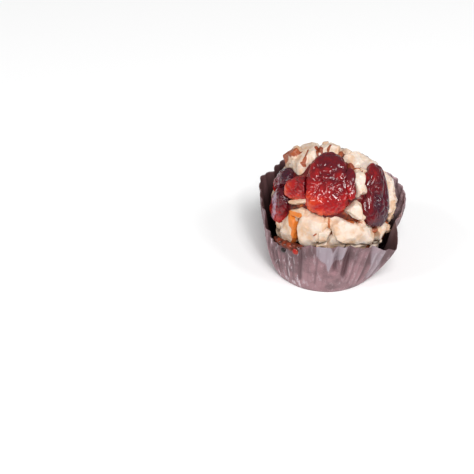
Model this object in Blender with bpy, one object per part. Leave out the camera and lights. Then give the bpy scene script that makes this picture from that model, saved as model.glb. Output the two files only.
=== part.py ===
"""A cranberry laddu in its fluted paper case.

The laddu is a ball of chopped nuts bound with syrup, studded with whole dried cranberries,
and it sits in a small pleated paper case. Metres, +Z up. The origin is on the underside of the
case's flat base, below the middle of the laddu. Bearings are in degrees round +Z: 0 faces -Y,
the front, and 90 faces +X. Rises are in degrees above the laddu's level middle.
"""

import math
import random
from dataclasses import dataclass, field

import bmesh
import bpy
from mathutils import Matrix, Vector

MM = 0.001

# Driving sizes of the paper case
BASE_RADIUS = 15.0 * MM
BASE_MIDDLE = Vector((-1.9 * MM, 0.0, 0.0))
WALL_BULGE = 0.7 * MM
PAPER = 0.3 * MM
FLUTES = 36
COLUMNS_PER_FLUTE = 4
FLUTE_DEPTH_BASE = 0.18 * MM
FLUTE_DEPTH_RIM = 0.75 * MM
FLUTE_UNEVENNESS = 0.5
# How the flutes' depth changes round the case: share, waves round it, phase
FLUTE_WAVES = ((0.6, 5, 0.6), (0.4, 11, 0.0))
FLUTE_DRIFT = 0.5
WALL_SHARES = (0.0, 0.1, 0.3, 0.55, 0.8, 1.0)
SHARP_ANGLE = math.radians(50)
# The crumpled rim: bearing in degrees, then its radius and height in millimetres
RIM = (
    (-160, 20.8, 22.2),
    (-137, 23.0, 23.6),
    (-122, 21.5, 22.6),
    (-108, 22.4, 22.9),
    (-88, 20.9, 22.2),
    (-74, 20.4, 21.0),
    (-65, 20.4, 17.8),
    (-54, 20.4, 16.2),
    (-40, 20.3, 16.2),
    (-14, 20.3, 19.8),
    (12, 20.3, 20.2),
    (34, 20.2, 18.2),
    (48, 20.8, 15.4),
    (57, 22.0, 14.0),
    (70, 19.4, 21.0),
    (81, 19.6, 21.3),
    (94, 21.2, 21.6),
    (112, 21.6, 22.2),
    (128, 22.0, 21.8),
    (150, 20.8, 22.0),
)

# Driving sizes of the laddu
GAP = 0.3 * MM
LADDU_RADIUS = 18.1 * MM
LADDU_HALF_HEIGHT = 19.4 * MM
LADDU_CENTRE = Vector((0.0, 0.0, PAPER + GAP + LADDU_HALF_HEIGHT))
SHOULDER_BEARING = 140
SHOULDER_RISE = 46
SHOULDER_DROP = 0.16
SHOULDER_WIDTH = 7
CORE_SHARE = 0.80
FOOT_SHARE = 0.985
FOOT_STARTS = -12.0
FOOT_ENDS = -42.0
NUT_ROOT = 0.52
CROWN = 0.65
LEAST_LEFT = 0.9 * MM
CORE_DETAIL = 4
BERRY_DETAIL = 3
BERRY_THICKNESS = 0.58
BERRY_STAND = 0.6 * MM
BLUNTNESS = 2.25
BERRY_FOLDS = 5
BERRY_FOLD_DEPTH = 0.14
FOLD_WANDER_ALONG = 0.5
FOLD_WANDER_AROUND = 0.3
PRESSED_EDGE = 24

# Whole dried cranberries, the ones on top first: name, bearing, rise, length, width (mm), turn
# and taper, the share by which the far end is narrower
CRANBERRIES = (
    ("cranberry_front_top", -12, 53, 17.2, 12.8, 98, 0.16),
    ("cranberry_right", 57.5, 32, 18.2, 9.4, 54, 0.20),
    ("cranberry_left_upper", -47.5, 38.5, 10.4, 7.4, 28, 0.0),
    ("cranberry_left_lower", -69, 12, 11.2, 8.4, 78, 0.10),
    ("cranberry_left_back", -84, 29, 9.2, 7.8, 60, 0.0),
    ("cranberry_right_small", 27, 51, 9.4, 4.2, 76, -0.10),
    ("cranberry_back_left", -146, 6, 15.0, 11.0, 30, 0.10),
    ("cranberry_back_right", 152, 10, 16.0, 12.0, 115, 0.12),
    ("cranberry_back_high", -179, 22, 12.0, 9.2, 12, 0.0),
    ("cranberry_right_back", 118, 2, 12.4, 9.8, 65, 0.08),
)

# The nut pieces that face the front: how far each stands out (mm), then its corners on the
# laddu's skin, each a bearing and a rise
FRONT_NUTS = (
    (0.3, ((-92, 44), (-106, 30), (-130, 36), (-146, 54), (-124, 69), (-82, 71), (-55, 64), (-57, 52), (-74, 46))),
    (0.4, ((-112, 71), (-150, 70), (150, 78), (24, 82), (-6, 78), (-45, 80), (-80, 75))),
    (0.4, ((40, 82), (96, 76), (118, 60), (108, 42), (90, 44), (76, 56), (60, 62), (38, 67), (19, 74))),
    (0.3, ((25, 68), (46, 66), (58, 59), (47, 58), (28, 61))),
    (0.5, ((42, 61), (54, 60), (57, 54), (51, 48), (34, 40), (28, 39), (27, 46), (32, 55))),
    (0.7, ((13, 29), (26, 36), (29, 35), (35, 29), (36, 23), (31, 20), (23, 20))),
    (0.6, ((-2, 22), (1, 24), (20, 17), (37, 11), (43, 5), (44, -4), (38, -8), (14, -2), (1, 7))),
    (0.5, ((-27, 28), (-22, 31), (-2, 25), (-3, 17), (-13, -3), (-16, -12), (-25, -14), (-34, 1), (-34, 14))),
    (0.8, ((-13, 10), (-6, 13), (-2, 10), (-4, 1), (-12, -2))),
    (0.4, ((-65, 3), (-57, 10), (-47, 16), (-38, 14), (-35, 6), (-35, -9), (-43, -17), (-57, -12))),
    (-0.1, ((-49, 18), (-45, 24), (-30, 27), (-28, 22), (-34, 15), (-44, 15))),
    (0.4, ((78, 48), (84, 46), (95, 42), (98, 26), (90, 14), (76, 8), (64, 8), (58, 16), (70, 30))),
    (0.3, ((46, 4), (54, 6), (62, -2), (66, -12), (56, -18), (47, -10))),
    (0.3, ((45, 14), (53, 13), (63, 7), (60, 2), (48, 5))),
    (0.1, ((-1, 5), (3, 8), (14, 0), (12, -10), (-2, -12), (-6, -3))),
    (0.0, ((13, -3), (36, -8), (36, -20), (14, -18))),
    (0.1, ((-15, -4), (-4, -1), (-2, -12), (-14, -16))),
    (0.4, ((-54, 21), (-53, 26), (-46, 30), (-40, 33), (-37, 30), (-43, 25))),
    (1.9, ((-112, 34), (-126, 42), (-120, 54), (-100, 58), (-90, 50), (-96, 38))),
)

# Rules for the nuts that no list places: tries, least and most length (mm), crowding, reach
NUT_RULES = (
    (900, 8.6, 12.0, 0.78, 1.00),
    (900, 5.6, 8.0, 0.76, 0.98),
    (1500, 3.8, 5.2, 0.72, 0.96),
)
LOWEST_RISE = -28.0
NUT_SEED = 41
# How a chopped nut is drawn: width over length, lean off the skin, and its number of sides
NUT_WIDTHS = (0.62, 0.92)
NUT_LEAN = 0.22
NUT_SIDES = (4, 5, 5, 6)
# How it is cut: spread of the sides, their draft (degrees) and reach, and the same for its chip
SIDE_SPREAD = 0.18
SIDE_DRAFT = (-8, 30)
SIDE_REACH = (0.88, 1.0)
CHIP_DRAFT = (46, 64)
CHIP_REACH = (0.86, 0.98)
# The same for the nuts that face the front
FRONT_DRAFT = math.radians(6)
FRONT_SEAM = 0.1 * MM

PALE_NUT = (0.80, 0.66, 0.46, 1.0)
BERRY_RED = (0.30, 0.012, 0.02, 1.0)
CASE_BROWN = (0.20, 0.10, 0.10, 1.0)


@dataclass
class Piece:
    """A nut or berry: its middle, its length, width and outward axes, its size and its cuts."""

    name: str
    skin: Vector
    middle: Vector
    axes: tuple
    half: tuple
    taper: float = 0.0
    cuts: list = field(default_factory=list)

    def reach(self, way):
        """How far the piece's ellipsoid reaches from its middle in a direction."""
        return math.sqrt(sum((h * a.dot(way)) ** 2 for h, a in zip(self.half, self.axes)))

    def facing(self, point):
        """The outward normal of the ellipsoid where the line to a point leaves it."""
        to = point - self.middle
        slopes = (a * (to.dot(a) / h ** 2) for h, a in zip(self.half, self.axes))
        return sum(slopes, Vector()).normalized()

    def footprint(self):
        """The radius of a circle about as large as the piece looks from outside."""
        return math.sqrt(self.half[0] * self.half[1])


def clear_scene():
    for found in list(bpy.data.objects):
        bpy.data.objects.remove(found)


def new_object(name, shape, colour, roughness):
    """A linked object from a finished bmesh, with a plain material of its own."""
    mesh = bpy.data.meshes.new(name)
    shape.to_mesh(mesh)
    shape.free()
    made = bpy.data.objects.new(name, mesh)
    bpy.context.scene.collection.objects.link(made)
    material = bpy.data.materials.new(name)
    material.use_nodes = True
    surface = material.node_tree.nodes["Principled BSDF"]
    surface.inputs["Base Color"].default_value = colour
    surface.inputs["Roughness"].default_value = roughness
    surface.inputs["Metallic"].default_value = 0.0
    mesh.materials.append(material)
    return made


def outward(bearing):
    """The level direction that a bearing in radians faces."""
    return Vector((math.sin(bearing), -math.cos(bearing), 0.0))


def along_skin(bearing):
    """The level direction in which the bearing, in radians, grows."""
    return Vector((math.cos(bearing), math.sin(bearing), 0.0))


# The paper case


def rim_at(bearing):
    """The rim's line at a bearing in radians, eased between the listed points."""
    degrees = math.degrees(bearing)
    for before, after in zip(RIM, RIM[1:] + RIM[:1]):
        span = (after[0] - before[0]) % 360
        along = (degrees - before[0]) % 360
        if along <= span:
            break
    ease = 0.5 - 0.5 * math.cos(math.pi * along / span)
    radius = (before[1] + (after[1] - before[1]) * ease) * MM
    height = (before[2] + (after[2] - before[2]) * ease) * MM
    return outward(bearing) * radius + Vector((0, 0, height))


def base_at(bearing):
    """The edge of the flat base at a bearing in radians."""
    return BASE_MIDDLE + outward(bearing) * BASE_RADIUS


def wall_point(bearing, share, inset):
    """A point of the pleated wall, from the base at share 0 to the rim at share 1."""
    depth = FLUTE_DEPTH_BASE + (FLUTE_DEPTH_RIM - FLUTE_DEPTH_BASE) * share
    uneven = sum(part * math.sin(waves * bearing + phase) for part, waves, phase in FLUTE_WAVES)
    flute = depth * (1 + FLUTE_UNEVENNESS * uneven)
    flute *= math.sin(FLUTES * bearing + FLUTE_DRIFT * math.sin(3 * bearing))
    bulge = WALL_BULGE * math.sin(math.pi * share ** 0.8)
    point = base_at(bearing).lerp(rim_at(bearing), share)
    point += outward(bearing) * (bulge + flute - inset)
    point.z = max(point.z, inset)
    return point


def make_case():
    """The paper case as one thin closed body: fluted wall, rim edge and flat base."""
    shape = bmesh.new()
    columns = FLUTES * COLUMNS_PER_FLUTE
    bearings = [2 * math.pi * k / columns for k in range(columns)]
    rings = [[wall_point(b, s, 0.0) for b in bearings] for s in WALL_SHARES]
    rings += [[wall_point(b, s, PAPER) for b in bearings] for s in reversed(WALL_SHARES)]
    rows = [[shape.verts.new(p) for p in ring] for ring in rings]
    for lower, upper in zip(rows, rows[1:]):
        for k in range(columns):
            after = (k + 1) % columns
            shape.faces.new((lower[k], lower[after], upper[after], upper[k]))
    under = shape.verts.new(BASE_MIDDLE)
    over = shape.verts.new(BASE_MIDDLE + Vector((0, 0, PAPER)))
    for k in range(columns):
        after = (k + 1) % columns
        shape.faces.new((under, rows[0][after], rows[0][k]))
        shape.faces.new((over, rows[-1][k], rows[-1][after]))
    case = new_object("paper_case", shape, CASE_BROWN, 0.45)
    case.data.shade_smooth()
    case.data.set_sharp_from_angle(angle=SHARP_ANGLE)
    return case


# Where the pieces of the laddu go


def direction(bearing, rise):
    """The direction that a bearing and a rise in degrees face."""
    way = outward(math.radians(bearing)) * math.cos(math.radians(rise))
    way.z = math.sin(math.radians(rise))
    return way


def on_skin(bearing, rise):
    """A point on the laddu's skin and its outward normal, from a bearing and rise in degrees."""
    way = direction(bearing, rise)
    near = max(0.0, way.dot(direction(SHOULDER_BEARING, SHOULDER_RISE)))
    share = 1 - SHOULDER_DROP * near ** SHOULDER_WIDTH
    sizes = Vector((LADDU_RADIUS, LADDU_RADIUS, LADDU_HALF_HEIGHT))
    normal = Vector(part / size for part, size in zip(way, sizes)).normalized()
    return LADDU_CENTRE + Vector(w * s * share for w, s in zip(way, sizes)), normal


def place(name, bearing, rise, size, turn, stand, lean=(0.0, 0.0)):
    """A piece of a length, width and depth whose outer face stands proud of the laddu's skin."""
    skin, normal = on_skin(bearing, rise)
    across = along_skin(math.radians(bearing))
    turned = Matrix.Rotation(math.radians(turn), 3, normal)
    axes = [turned @ across, turned @ normal.cross(across), normal]
    tilt = Matrix.Rotation(lean[0], 3, axes[0]) @ Matrix.Rotation(lean[1], 3, axes[1])
    half = tuple(0.5 * side for side in size)
    middle = skin + normal * (stand - half[2])
    return Piece(name, skin, middle, tuple(tilt @ axis for axis in axes), half)


def nut_depth(stand):
    """How deep a nut goes from its outer face to its root inside the laddu."""
    return (1 - NUT_ROOT) * LADDU_RADIUS + stand


def round_face(piece, ends):
    """Tilts a nut's outer face down towards its ends, so that it follows the laddu's skin."""
    out = piece.axes[2]
    top = (piece.middle - LADDU_CENTRE).length + piece.half[2]
    for end in ends:
        normal = (out + end * CROWN / top).normalized()
        piece.cuts.append((normal, top - (piece.middle - LADDU_CENTRE).dot(normal)))


def cut_sides(piece, sides, draw):
    """Cuts a chopped nut's outline, rounds its outer face to the skin and chips one edge."""
    length, width, out = piece.axes
    phase = draw.uniform(0, 2 * math.pi)
    for k in range(sides):
        angle = phase + 2 * math.pi * (k + draw.uniform(-SIDE_SPREAD, SIDE_SPREAD)) / sides
        draft = math.radians(draw.uniform(*SIDE_DRAFT))
        flat = length * math.cos(angle) + width * math.sin(angle)
        normal = (flat * math.cos(draft) + out * math.sin(draft)).normalized()
        piece.cuts.append((normal, piece.reach(normal) * draw.uniform(*SIDE_REACH)))
    half_length, half_width = length * piece.half[0], width * piece.half[1]
    round_face(piece, (half_length, -half_length, half_width, -half_width))
    draft = math.radians(draw.uniform(*CHIP_DRAFT))
    angle = draw.uniform(0, 2 * math.pi)
    flat = length * math.cos(angle) + width * math.sin(angle)
    normal = (flat * math.cos(draft) + out * math.sin(draft)).normalized()
    piece.cuts.append((normal, piece.reach(normal) * draw.uniform(*CHIP_REACH)))


def front_nut(stand, corners):
    """A nut piece cut to its corners on the skin, whose outer face stands proud of it."""
    points = [on_skin(*corner)[0] for corner in corners]
    way = sum((p - LADDU_CENTRE for p in points), Vector()).normalized()
    bearing = math.degrees(math.atan2(way.x, -way.y))
    rise = math.degrees(math.asin(way.z))
    around = place("nut", bearing, rise, (0, 0, nut_depth(stand)), 0, stand)
    across, up, out = around.axes
    lefts = [(p - around.middle).dot(across) for p in points]
    lows = [(p - around.middle).dot(up) for p in points]
    middle = around.middle + across * 0.5 * (min(lefts) + max(lefts)) + up * 0.5 * (min(lows) + max(lows))
    half = (0.5 * (max(lefts) - min(lefts)), 0.5 * (max(lows) - min(lows)), around.half[2])
    nut = Piece("nut", middle + out * (around.half[2] - stand), middle, around.axes, half)
    for here, after in zip(points, points[1:] + points[:1]):
        flat = (after - here).cross(out).normalized()
        if flat.dot(here - middle) < 0:
            flat.negate()
        normal = flat * math.cos(FRONT_DRAFT) + out * math.sin(FRONT_DRAFT)
        nut.cuts.append((normal, (here - middle).dot(normal) - FRONT_SEAM))
    round_face(nut, [p - middle - out * (p - middle).dot(out) for p in points])
    return nut


def scatter_nuts(pieces, draw):
    """Nut pieces for what the lists leave bare, the largest first."""
    nuts = []
    for tries, least, most, crowding, reach in NUT_RULES:
        for _ in range(tries):
            bearing = draw.uniform(-180, 180)
            rise = math.degrees(math.asin(draw.uniform(math.sin(math.radians(LOWEST_RISE)), 1)))
            length = draw.uniform(least, most) * MM
            width = length * draw.uniform(*NUT_WIDTHS)
            lean = (draw.uniform(-NUT_LEAN, NUT_LEAN), draw.uniform(-NUT_LEAN, NUT_LEAN))
            turn = draw.uniform(0, 180)
            sides = draw.choice(NUT_SIDES)
            room = crowding * 0.5 * math.sqrt(length * width)
            skin = on_skin(bearing, rise)[0]
            if any((skin - p.skin).length < room + crowding * p.footprint() for p in pieces + nuts):
                continue
            stand = (reach - 1) * LADDU_RADIUS
            nut = place("nut", bearing, rise, (length, width, nut_depth(stand)), turn, stand, lean)
            cut_sides(nut, sides, draw)
            nuts.append(nut)
    return nuts


def cut_by_side(piece, firm):
    """Cuts a piece back from the side of a firmer one, a gap away."""
    normal = firm.facing(piece.middle)
    room = (piece.middle - firm.middle).dot(normal) - firm.reach(normal) - GAP
    if room < 2 * piece.reach(normal):
        piece.cuts.append((-normal, room))


def cut_between(one, other):
    """Cuts two pieces that would meet by a plane between them, half a gap away from each."""
    apart = other.middle - one.middle
    way = apart.normalized()
    near, far = one.reach(way), other.reach(way)
    if apart.length > near + far + GAP:
        return
    limit = apart.length * near / (near + far)
    one.cuts.append((way, limit - 0.5 * GAP))
    other.cuts.append((-way, apart.length - limit - 0.5 * GAP))


def keep_in_case(piece):
    """Cuts a piece back from the case's wall where it could touch it."""
    facing = math.atan2(piece.middle.x, -piece.middle.y)
    clear = PAPER + GAP + (1 + FLUTE_UNEVENNESS) * FLUTE_DEPTH_RIM
    for step in (-30, -15, 0, 15, 30):
        bearing = facing + math.radians(step)
        base = base_at(bearing)
        normal = along_skin(bearing).cross(rim_at(bearing) - base).normalized()
        room = (base - piece.middle).dot(normal) - clear
        if room < 1.5 * piece.reach(normal):
            piece.cuts.append((normal, room))


def lay_out():
    """All the berries, and all the nuts, cut clear of each other and of the case."""
    draw = random.Random(NUT_SEED)
    berries = []
    for name, bearing, rise, length, width, turn, taper in CRANBERRIES:
        size = (length * MM, width * MM, BERRY_THICKNESS * width * MM)
        berries.append(place(name, bearing, rise, size, turn, BERRY_STAND))
        berries[-1].taper = taper
    listed = [front_nut(stand * MM, corners) for stand, corners in FRONT_NUTS]
    ruled = scatter_nuts(berries + listed, draw)
    for k, berry in enumerate(berries):
        for piece in berries[k + 1 :] + listed + ruled:
            cut_by_side(piece, berry)
    for k, nut in enumerate(ruled):
        for firm in listed:
            cut_by_side(nut, firm)
        for other in ruled[k + 1 :]:
            cut_between(nut, other)
    for piece in berries + listed + ruled:
        keep_in_case(piece)
    kept = [nut for nut in ruled if min(limit for _, limit in nut.cuts) > LEAST_LEFT]
    return berries, listed + kept


# The shapes


def block(piece):
    """A chopped nut as a mesh: a block cut by the piece's planes."""
    shape = bmesh.new()
    bmesh.ops.create_cube(shape, size=2.0)
    frame = Matrix([a * h for a, h in zip(piece.axes, piece.half)]).transposed().to_4x4()
    bmesh.ops.transform(shape, matrix=Matrix.Translation(piece.middle) @ frame, verts=shape.verts)
    for normal, limit in piece.cuts:
        whole = shape.verts[:] + shape.edges[:] + shape.faces[:]
        at = piece.middle + normal * limit
        cut = bmesh.ops.bisect_plane(
            shape, geom=whole, dist=1e-7, plane_co=at, plane_no=normal, clear_outer=True
        )
        edges = [g for g in cut["geom_cut"] if isinstance(g, bmesh.types.BMEdge)]
        if edges:
            bmesh.ops.contextual_create(shape, geom=edges)
    return shape


def berry_radius(piece, way, number):
    """How far the berry's skin lies from its middle: its ellipsoid, its folds and its cuts."""
    along, side, rise = (way.dot(axis) for axis in piece.axes)
    around = math.atan2(rise, side)
    wander = FOLD_WANDER_ALONG * math.sin(3 * along + number)
    wander += FOLD_WANDER_AROUND * math.sin(2 * around + 2.3 * number)
    crest = abs(math.sin(0.5 * BERRY_FOLDS * around + wander + number))
    fold = BERRY_FOLD_DEPTH * (1 - crest) ** 2 * (1 - along * along)
    parts = (along, side / (1 - piece.taper * along), rise)
    shares = (abs(part) / half for part, half in zip(parts, piece.half))
    radius = (1 - fold) / sum(share ** BLUNTNESS for share in shares) ** (1 / BLUNTNESS)
    presses = (max(0.0, way.dot(normal) * radius / limit) for normal, limit in piece.cuts)
    return radius / (1 + sum(press ** PRESSED_EDGE for press in presses)) ** (1 / PRESSED_EDGE)


def berry_shape(piece, number):
    """A dried berry: an ellipsoid with lengthwise folds, flat where it meets its neighbours."""
    shape = bmesh.new()
    bmesh.ops.create_icosphere(shape, subdivisions=BERRY_DETAIL, radius=1.0)
    for corner in shape.verts:
        along, side, rise = corner.co.normalized()
        way = piece.axes[0] * along + piece.axes[1] * side + piece.axes[2] * rise
        corner.co = piece.middle + way * berry_radius(piece, way, number)
    return shape


def berry_seat(berry):
    """How far the core's flat seat under a berry lies from the laddu's centre."""
    under = berry.middle - berry.axes[2] * berry.half[2]
    return (under - LADDU_CENTRE).dot(berry.axes[2]) - GAP


def core_shape(berries):
    """The bound middle of the laddu: a ball with a flat seat under each berry and a flat foot."""
    shape = bmesh.new()
    bmesh.ops.create_icosphere(shape, subdivisions=CORE_DETAIL, radius=1.0)
    seats = [(berry.axes[2], berry_seat(berry)) for berry in berries]
    for corner in shape.verts:
        way = corner.co.normalized()
        low = (FOOT_STARTS - math.degrees(math.asin(way.z))) / (FOOT_STARTS - FOOT_ENDS)
        low = min(max(low, 0.0), 1.0)
        share = CORE_SHARE + (FOOT_SHARE - CORE_SHARE) * low * low * (3 - 2 * low)
        level = (way.x ** 2 + way.y ** 2) / LADDU_RADIUS ** 2
        radius = share / math.sqrt(level + way.z ** 2 / LADDU_HALF_HEIGHT ** 2)
        for normal, limit in seats:
            if way.dot(normal) > 0:
                radius = min(radius, limit / way.dot(normal))
        if way.z < 0:
            radius = min(radius, FOOT_SHARE * LADDU_HALF_HEIGHT / -way.z)
        corner.co = LADDU_CENTRE + way * radius
    return shape


def drop_scraps(made):
    """Keeps the largest body of a joined mesh: loose scraps and sealed hollows go."""
    shape = bmesh.new()
    shape.from_mesh(made.data)
    left = set(shape.verts)
    islands = []
    while left:
        island = {left.pop()}
        front = list(island)
        while front:
            for edge in front.pop().link_edges:
                found = left.intersection(edge.verts)
                left -= found
                island |= found
                front += found
        islands.append(island)
    islands.sort(key=len)
    scraps = [corner for island in islands[:-1] for corner in island]
    bmesh.ops.delete(shape, geom=scraps, context="VERTS")
    shape.to_mesh(made.data)
    shape.free()


def make_cluster(berries, nuts):
    """The bound nuts as one body: the core joined with every piece of nut that shows."""
    cluster = new_object("nut_cluster", core_shape(berries), PALE_NUT, 0.5)
    chopped = bpy.data.collections.new("chopped_nuts")
    bpy.context.scene.collection.children.link(chopped)
    for k, nut in enumerate(nuts):
        mesh = bpy.data.meshes.new(f"nut_{k:03d}")
        shape = block(nut)
        shape.to_mesh(mesh)
        shape.free()
        chopped.objects.link(bpy.data.objects.new(mesh.name, mesh))
    join = cluster.modifiers.new("join", "BOOLEAN")
    join.operation = "UNION"
    join.operand_type = "COLLECTION"
    join.solver = "MANIFOLD"
    join.collection = chopped
    bpy.context.view_layer.update()
    graph = bpy.context.evaluated_depsgraph_get()
    joined = bpy.data.meshes.new_from_object(cluster.evaluated_get(graph))
    cluster.modifiers.clear()
    cluster.data = joined
    for piece in list(chopped.objects):
        bpy.data.objects.remove(piece)
    bpy.data.collections.remove(chopped)
    drop_scraps(cluster)
    return cluster


def make_berries(berries):
    for number, berry in enumerate(berries):
        made = new_object(berry.name, berry_shape(berry, number), BERRY_RED, 0.25)
        made.data.shade_smooth()


def main():
    clear_scene()
    make_case()
    berries, nuts = lay_out()
    make_cluster(berries, nuts)
    make_berries(berries)


main()
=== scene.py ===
"""A cranberry laddu in its fluted paper case, with the looks of the real sweet.

The laddu is a ball of chopped nuts bound with syrup and studded with dried cranberries. Metres,
+Z up, -Y is the front. Bearings are in degrees round +Z: 0 faces -Y and 90 faces +X. Rises are
in degrees above the laddu's level middle.
"""

import itertools
import logging
import math
import random
from collections.abc import Mapping, Sequence
from dataclasses import dataclass, field
from enum import Enum, IntEnum
from functools import lru_cache
from typing import Optional, Union

import bmesh
import bpy
import numpy as np
from mathutils import Matrix, Vector
from numpy.typing import NDArray

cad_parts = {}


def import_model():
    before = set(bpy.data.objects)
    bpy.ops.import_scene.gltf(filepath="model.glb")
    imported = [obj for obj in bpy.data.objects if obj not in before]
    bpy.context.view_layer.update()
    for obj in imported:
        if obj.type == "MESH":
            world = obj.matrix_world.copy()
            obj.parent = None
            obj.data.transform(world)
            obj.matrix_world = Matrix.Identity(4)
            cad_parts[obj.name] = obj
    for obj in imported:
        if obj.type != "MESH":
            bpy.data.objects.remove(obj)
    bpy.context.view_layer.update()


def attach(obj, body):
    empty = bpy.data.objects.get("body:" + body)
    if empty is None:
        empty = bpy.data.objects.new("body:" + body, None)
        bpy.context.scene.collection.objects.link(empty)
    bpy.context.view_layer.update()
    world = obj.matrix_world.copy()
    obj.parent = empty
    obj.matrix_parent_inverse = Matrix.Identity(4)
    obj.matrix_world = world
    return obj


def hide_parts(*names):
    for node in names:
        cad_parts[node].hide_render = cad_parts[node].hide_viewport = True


log = logging.getLogger("laddu")

Floats = NDArray[np.float64]
Indices = NDArray[np.int64]
Stretch = tuple[float, float, float]
Settings = Mapping[str, object]

# A span runs from its first value to its second, and a spot is a bearing and a rise.
Span = tuple[float, float]
Spot = tuple[float, float]

MM = 0.001
TINY = 1e-9
BODY = "root"


class Slot(Enum):
    """The record's material slots."""

    PAPER = "case_paper"
    NUTS = "bound_nuts"
    BERRY = "dried_cranberry"


class Shade(Enum):
    """The plain colours that the finishes are mixed from, as linear red, green and blue."""

    CREAM = (0.625, 0.445, 0.320)
    IVORY = (0.715, 0.610, 0.525)
    TOASTED = (0.60, 0.34, 0.18)
    NUT_SKIN = (0.25, 0.042, 0.010)
    AMBER = (0.64, 0.175, 0.014)
    BROWN_SYRUP = (0.22, 0.070, 0.026)
    DARK_SYRUP = (0.060, 0.012, 0.006)
    SYRUP_BLACK = (0.008, 0.004, 0.003)
    RUN_RED = (0.26, 0.038, 0.012)
    BERRY_NIGHT = (0.045, 0.006, 0.015)
    BERRY_WINE = (0.120, 0.005, 0.009)
    BERRY_RED = (0.37, 0.011, 0.011)
    BERRY_FLAME = (0.66, 0.075, 0.015)
    FILM = (0.42, 0.29, 0.37)
    MAUVE = (0.305, 0.156, 0.175)
    MAUVE_DEEP = (0.105, 0.046, 0.053)
    # The inside paper deep down, darkened with painted shade.
    CASE_INSIDE = (0.045, 0.018, 0.018)
    CASE_BROWN = (0.115, 0.055, 0.058)
    # Painted light: the pale of the flare's inside, as if lit from above.
    CASE_PAINTED_LIT = (0.68, 0.47, 0.50)
    LAVENDER = (0.335, 0.275, 0.316)
    # Painted highlight: the white of the glints on the paper's ridges.
    PAINTED_GLINT = (0.62, 0.53, 0.57)
    FLOOR = (0.95, 0.95, 0.95)


# Noise and small helpers

LATTICE = 32
NOISE_GAIN = 1.6
SCOOP_UNEVENNESS = 0.5


class Seed(IntEnum):
    """Which noise each kind of roughness reads. Those with several start at the number given."""

    RIM = 11
    CRUMPLE = 12
    PAPER_CREASES = 13
    PAPER_WAVES = 14
    NUT_LUMPS = 20
    CRUMB_LUMPS = 23
    NUT_BREAKS = 24
    SYRUP_LUMPS = 31
    BERRY_BENDS = 40
    BERRY_WRINKLES = 44
    BERRY_GLOW = 47
    BERRY_FILM = 48
    DRIP_LUMPS = 51
    NUT_CHIPS = 100


@lru_cache(maxsize=None)
def noise_slopes(seed: int) -> Floats:
    """Random unit slopes on a wrapping lattice of points."""
    drawn = np.random.default_rng(seed).normal(size=(LATTICE, LATTICE, LATTICE, 3))
    return drawn / np.linalg.norm(drawn, axis=-1, keepdims=True)


def noise(points: Floats, lump: float, seed: int) -> Floats:
    """Smooth noise in space.

    Args:
        points: Where to read it, one row for each point, in metres.
        lump: The size of its lumps in metres.
        seed: Which noise it is.

    Returns:
        A number for each point, from about -1 to 1.
    """
    spots = points / lump
    cell = np.floor(spots).astype(np.int64)
    inside = spots - cell
    ease = inside ** 3 * (inside * (inside * 6 - 15) + 10)
    slopes = noise_slopes(seed)
    total = np.zeros(len(points))
    for corner in itertools.product((0, 1), repeat=3):
        at = (cell + corner) % LATTICE
        rises = ((inside - corner) * slopes[at[:, 0], at[:, 1], at[:, 2]]).sum(axis=1)
        weights = np.where(np.array(corner) == 1, ease, 1 - ease).prod(axis=1)
        total += weights * rises
    return NOISE_GAIN * total


@lru_cache(maxsize=None)
def scattered(seed: int) -> Floats:
    """A random place and weight in each cell of a wrapping lattice."""
    return np.random.default_rng(seed).random((LATTICE, LATTICE, LATTICE, 4))


def scoops(points: Floats, size: float, seed: int) -> Floats:
    """Shallow scoops that meet in sharp ridges, as the faces of broken nut do.

    Args:
        points: Where to read them, one row for each point, in metres.
        size: How far apart the scoops lie in metres.
        seed: Which scoops they are.

    Returns:
        A number for each point, from 0 deep in a scoop to about 1 on a ridge.
    """
    spots = points / size
    cell = np.floor(spots).astype(np.int64)
    best = np.full(len(points), np.inf)
    for corner in itertools.product((-1, 0, 1), repeat=3):
        at = (cell + corner) % LATTICE
        drawn = scattered(seed)[at[:, 0], at[:, 1], at[:, 2]]
        away = spots - cell - corner - drawn[:, :3]
        best = np.minimum(best, (away ** 2).sum(axis=1) + SCOOP_UNEVENNESS * drawn[:, 3])
    return best


def eased(values: Floats, low: float, high: float) -> Floats:
    """Values brought from low..high to 0..1 with soft ends."""
    share = np.clip((values - low) / (high - low), 0.0, 1.0)
    return share * share * (3 - 2 * share)


def unit(rows: Floats) -> Floats:
    """Rows scaled to length one."""
    return rows / np.linalg.norm(rows, axis=-1, keepdims=True)


def outward(bearing: float) -> Vector:
    """The level direction that a bearing in radians faces."""
    return Vector((math.sin(bearing), -math.cos(bearing), 0.0))


def along_skin(bearing: float) -> Vector:
    """The level direction in which the bearing, in radians, grows."""
    return Vector((math.cos(bearing), math.sin(bearing), 0.0))


def direction(bearing: float, rise: float) -> Vector:
    """The direction that a bearing and a rise face.

    Args:
        bearing: Degrees round +Z from -Y.
        rise: Degrees above level.

    Returns:
        A vector of length one.
    """
    way = outward(math.radians(bearing)) * math.cos(math.radians(rise))
    way.z = math.sin(math.radians(rise))
    return way


# Surfaces and pieces


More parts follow.
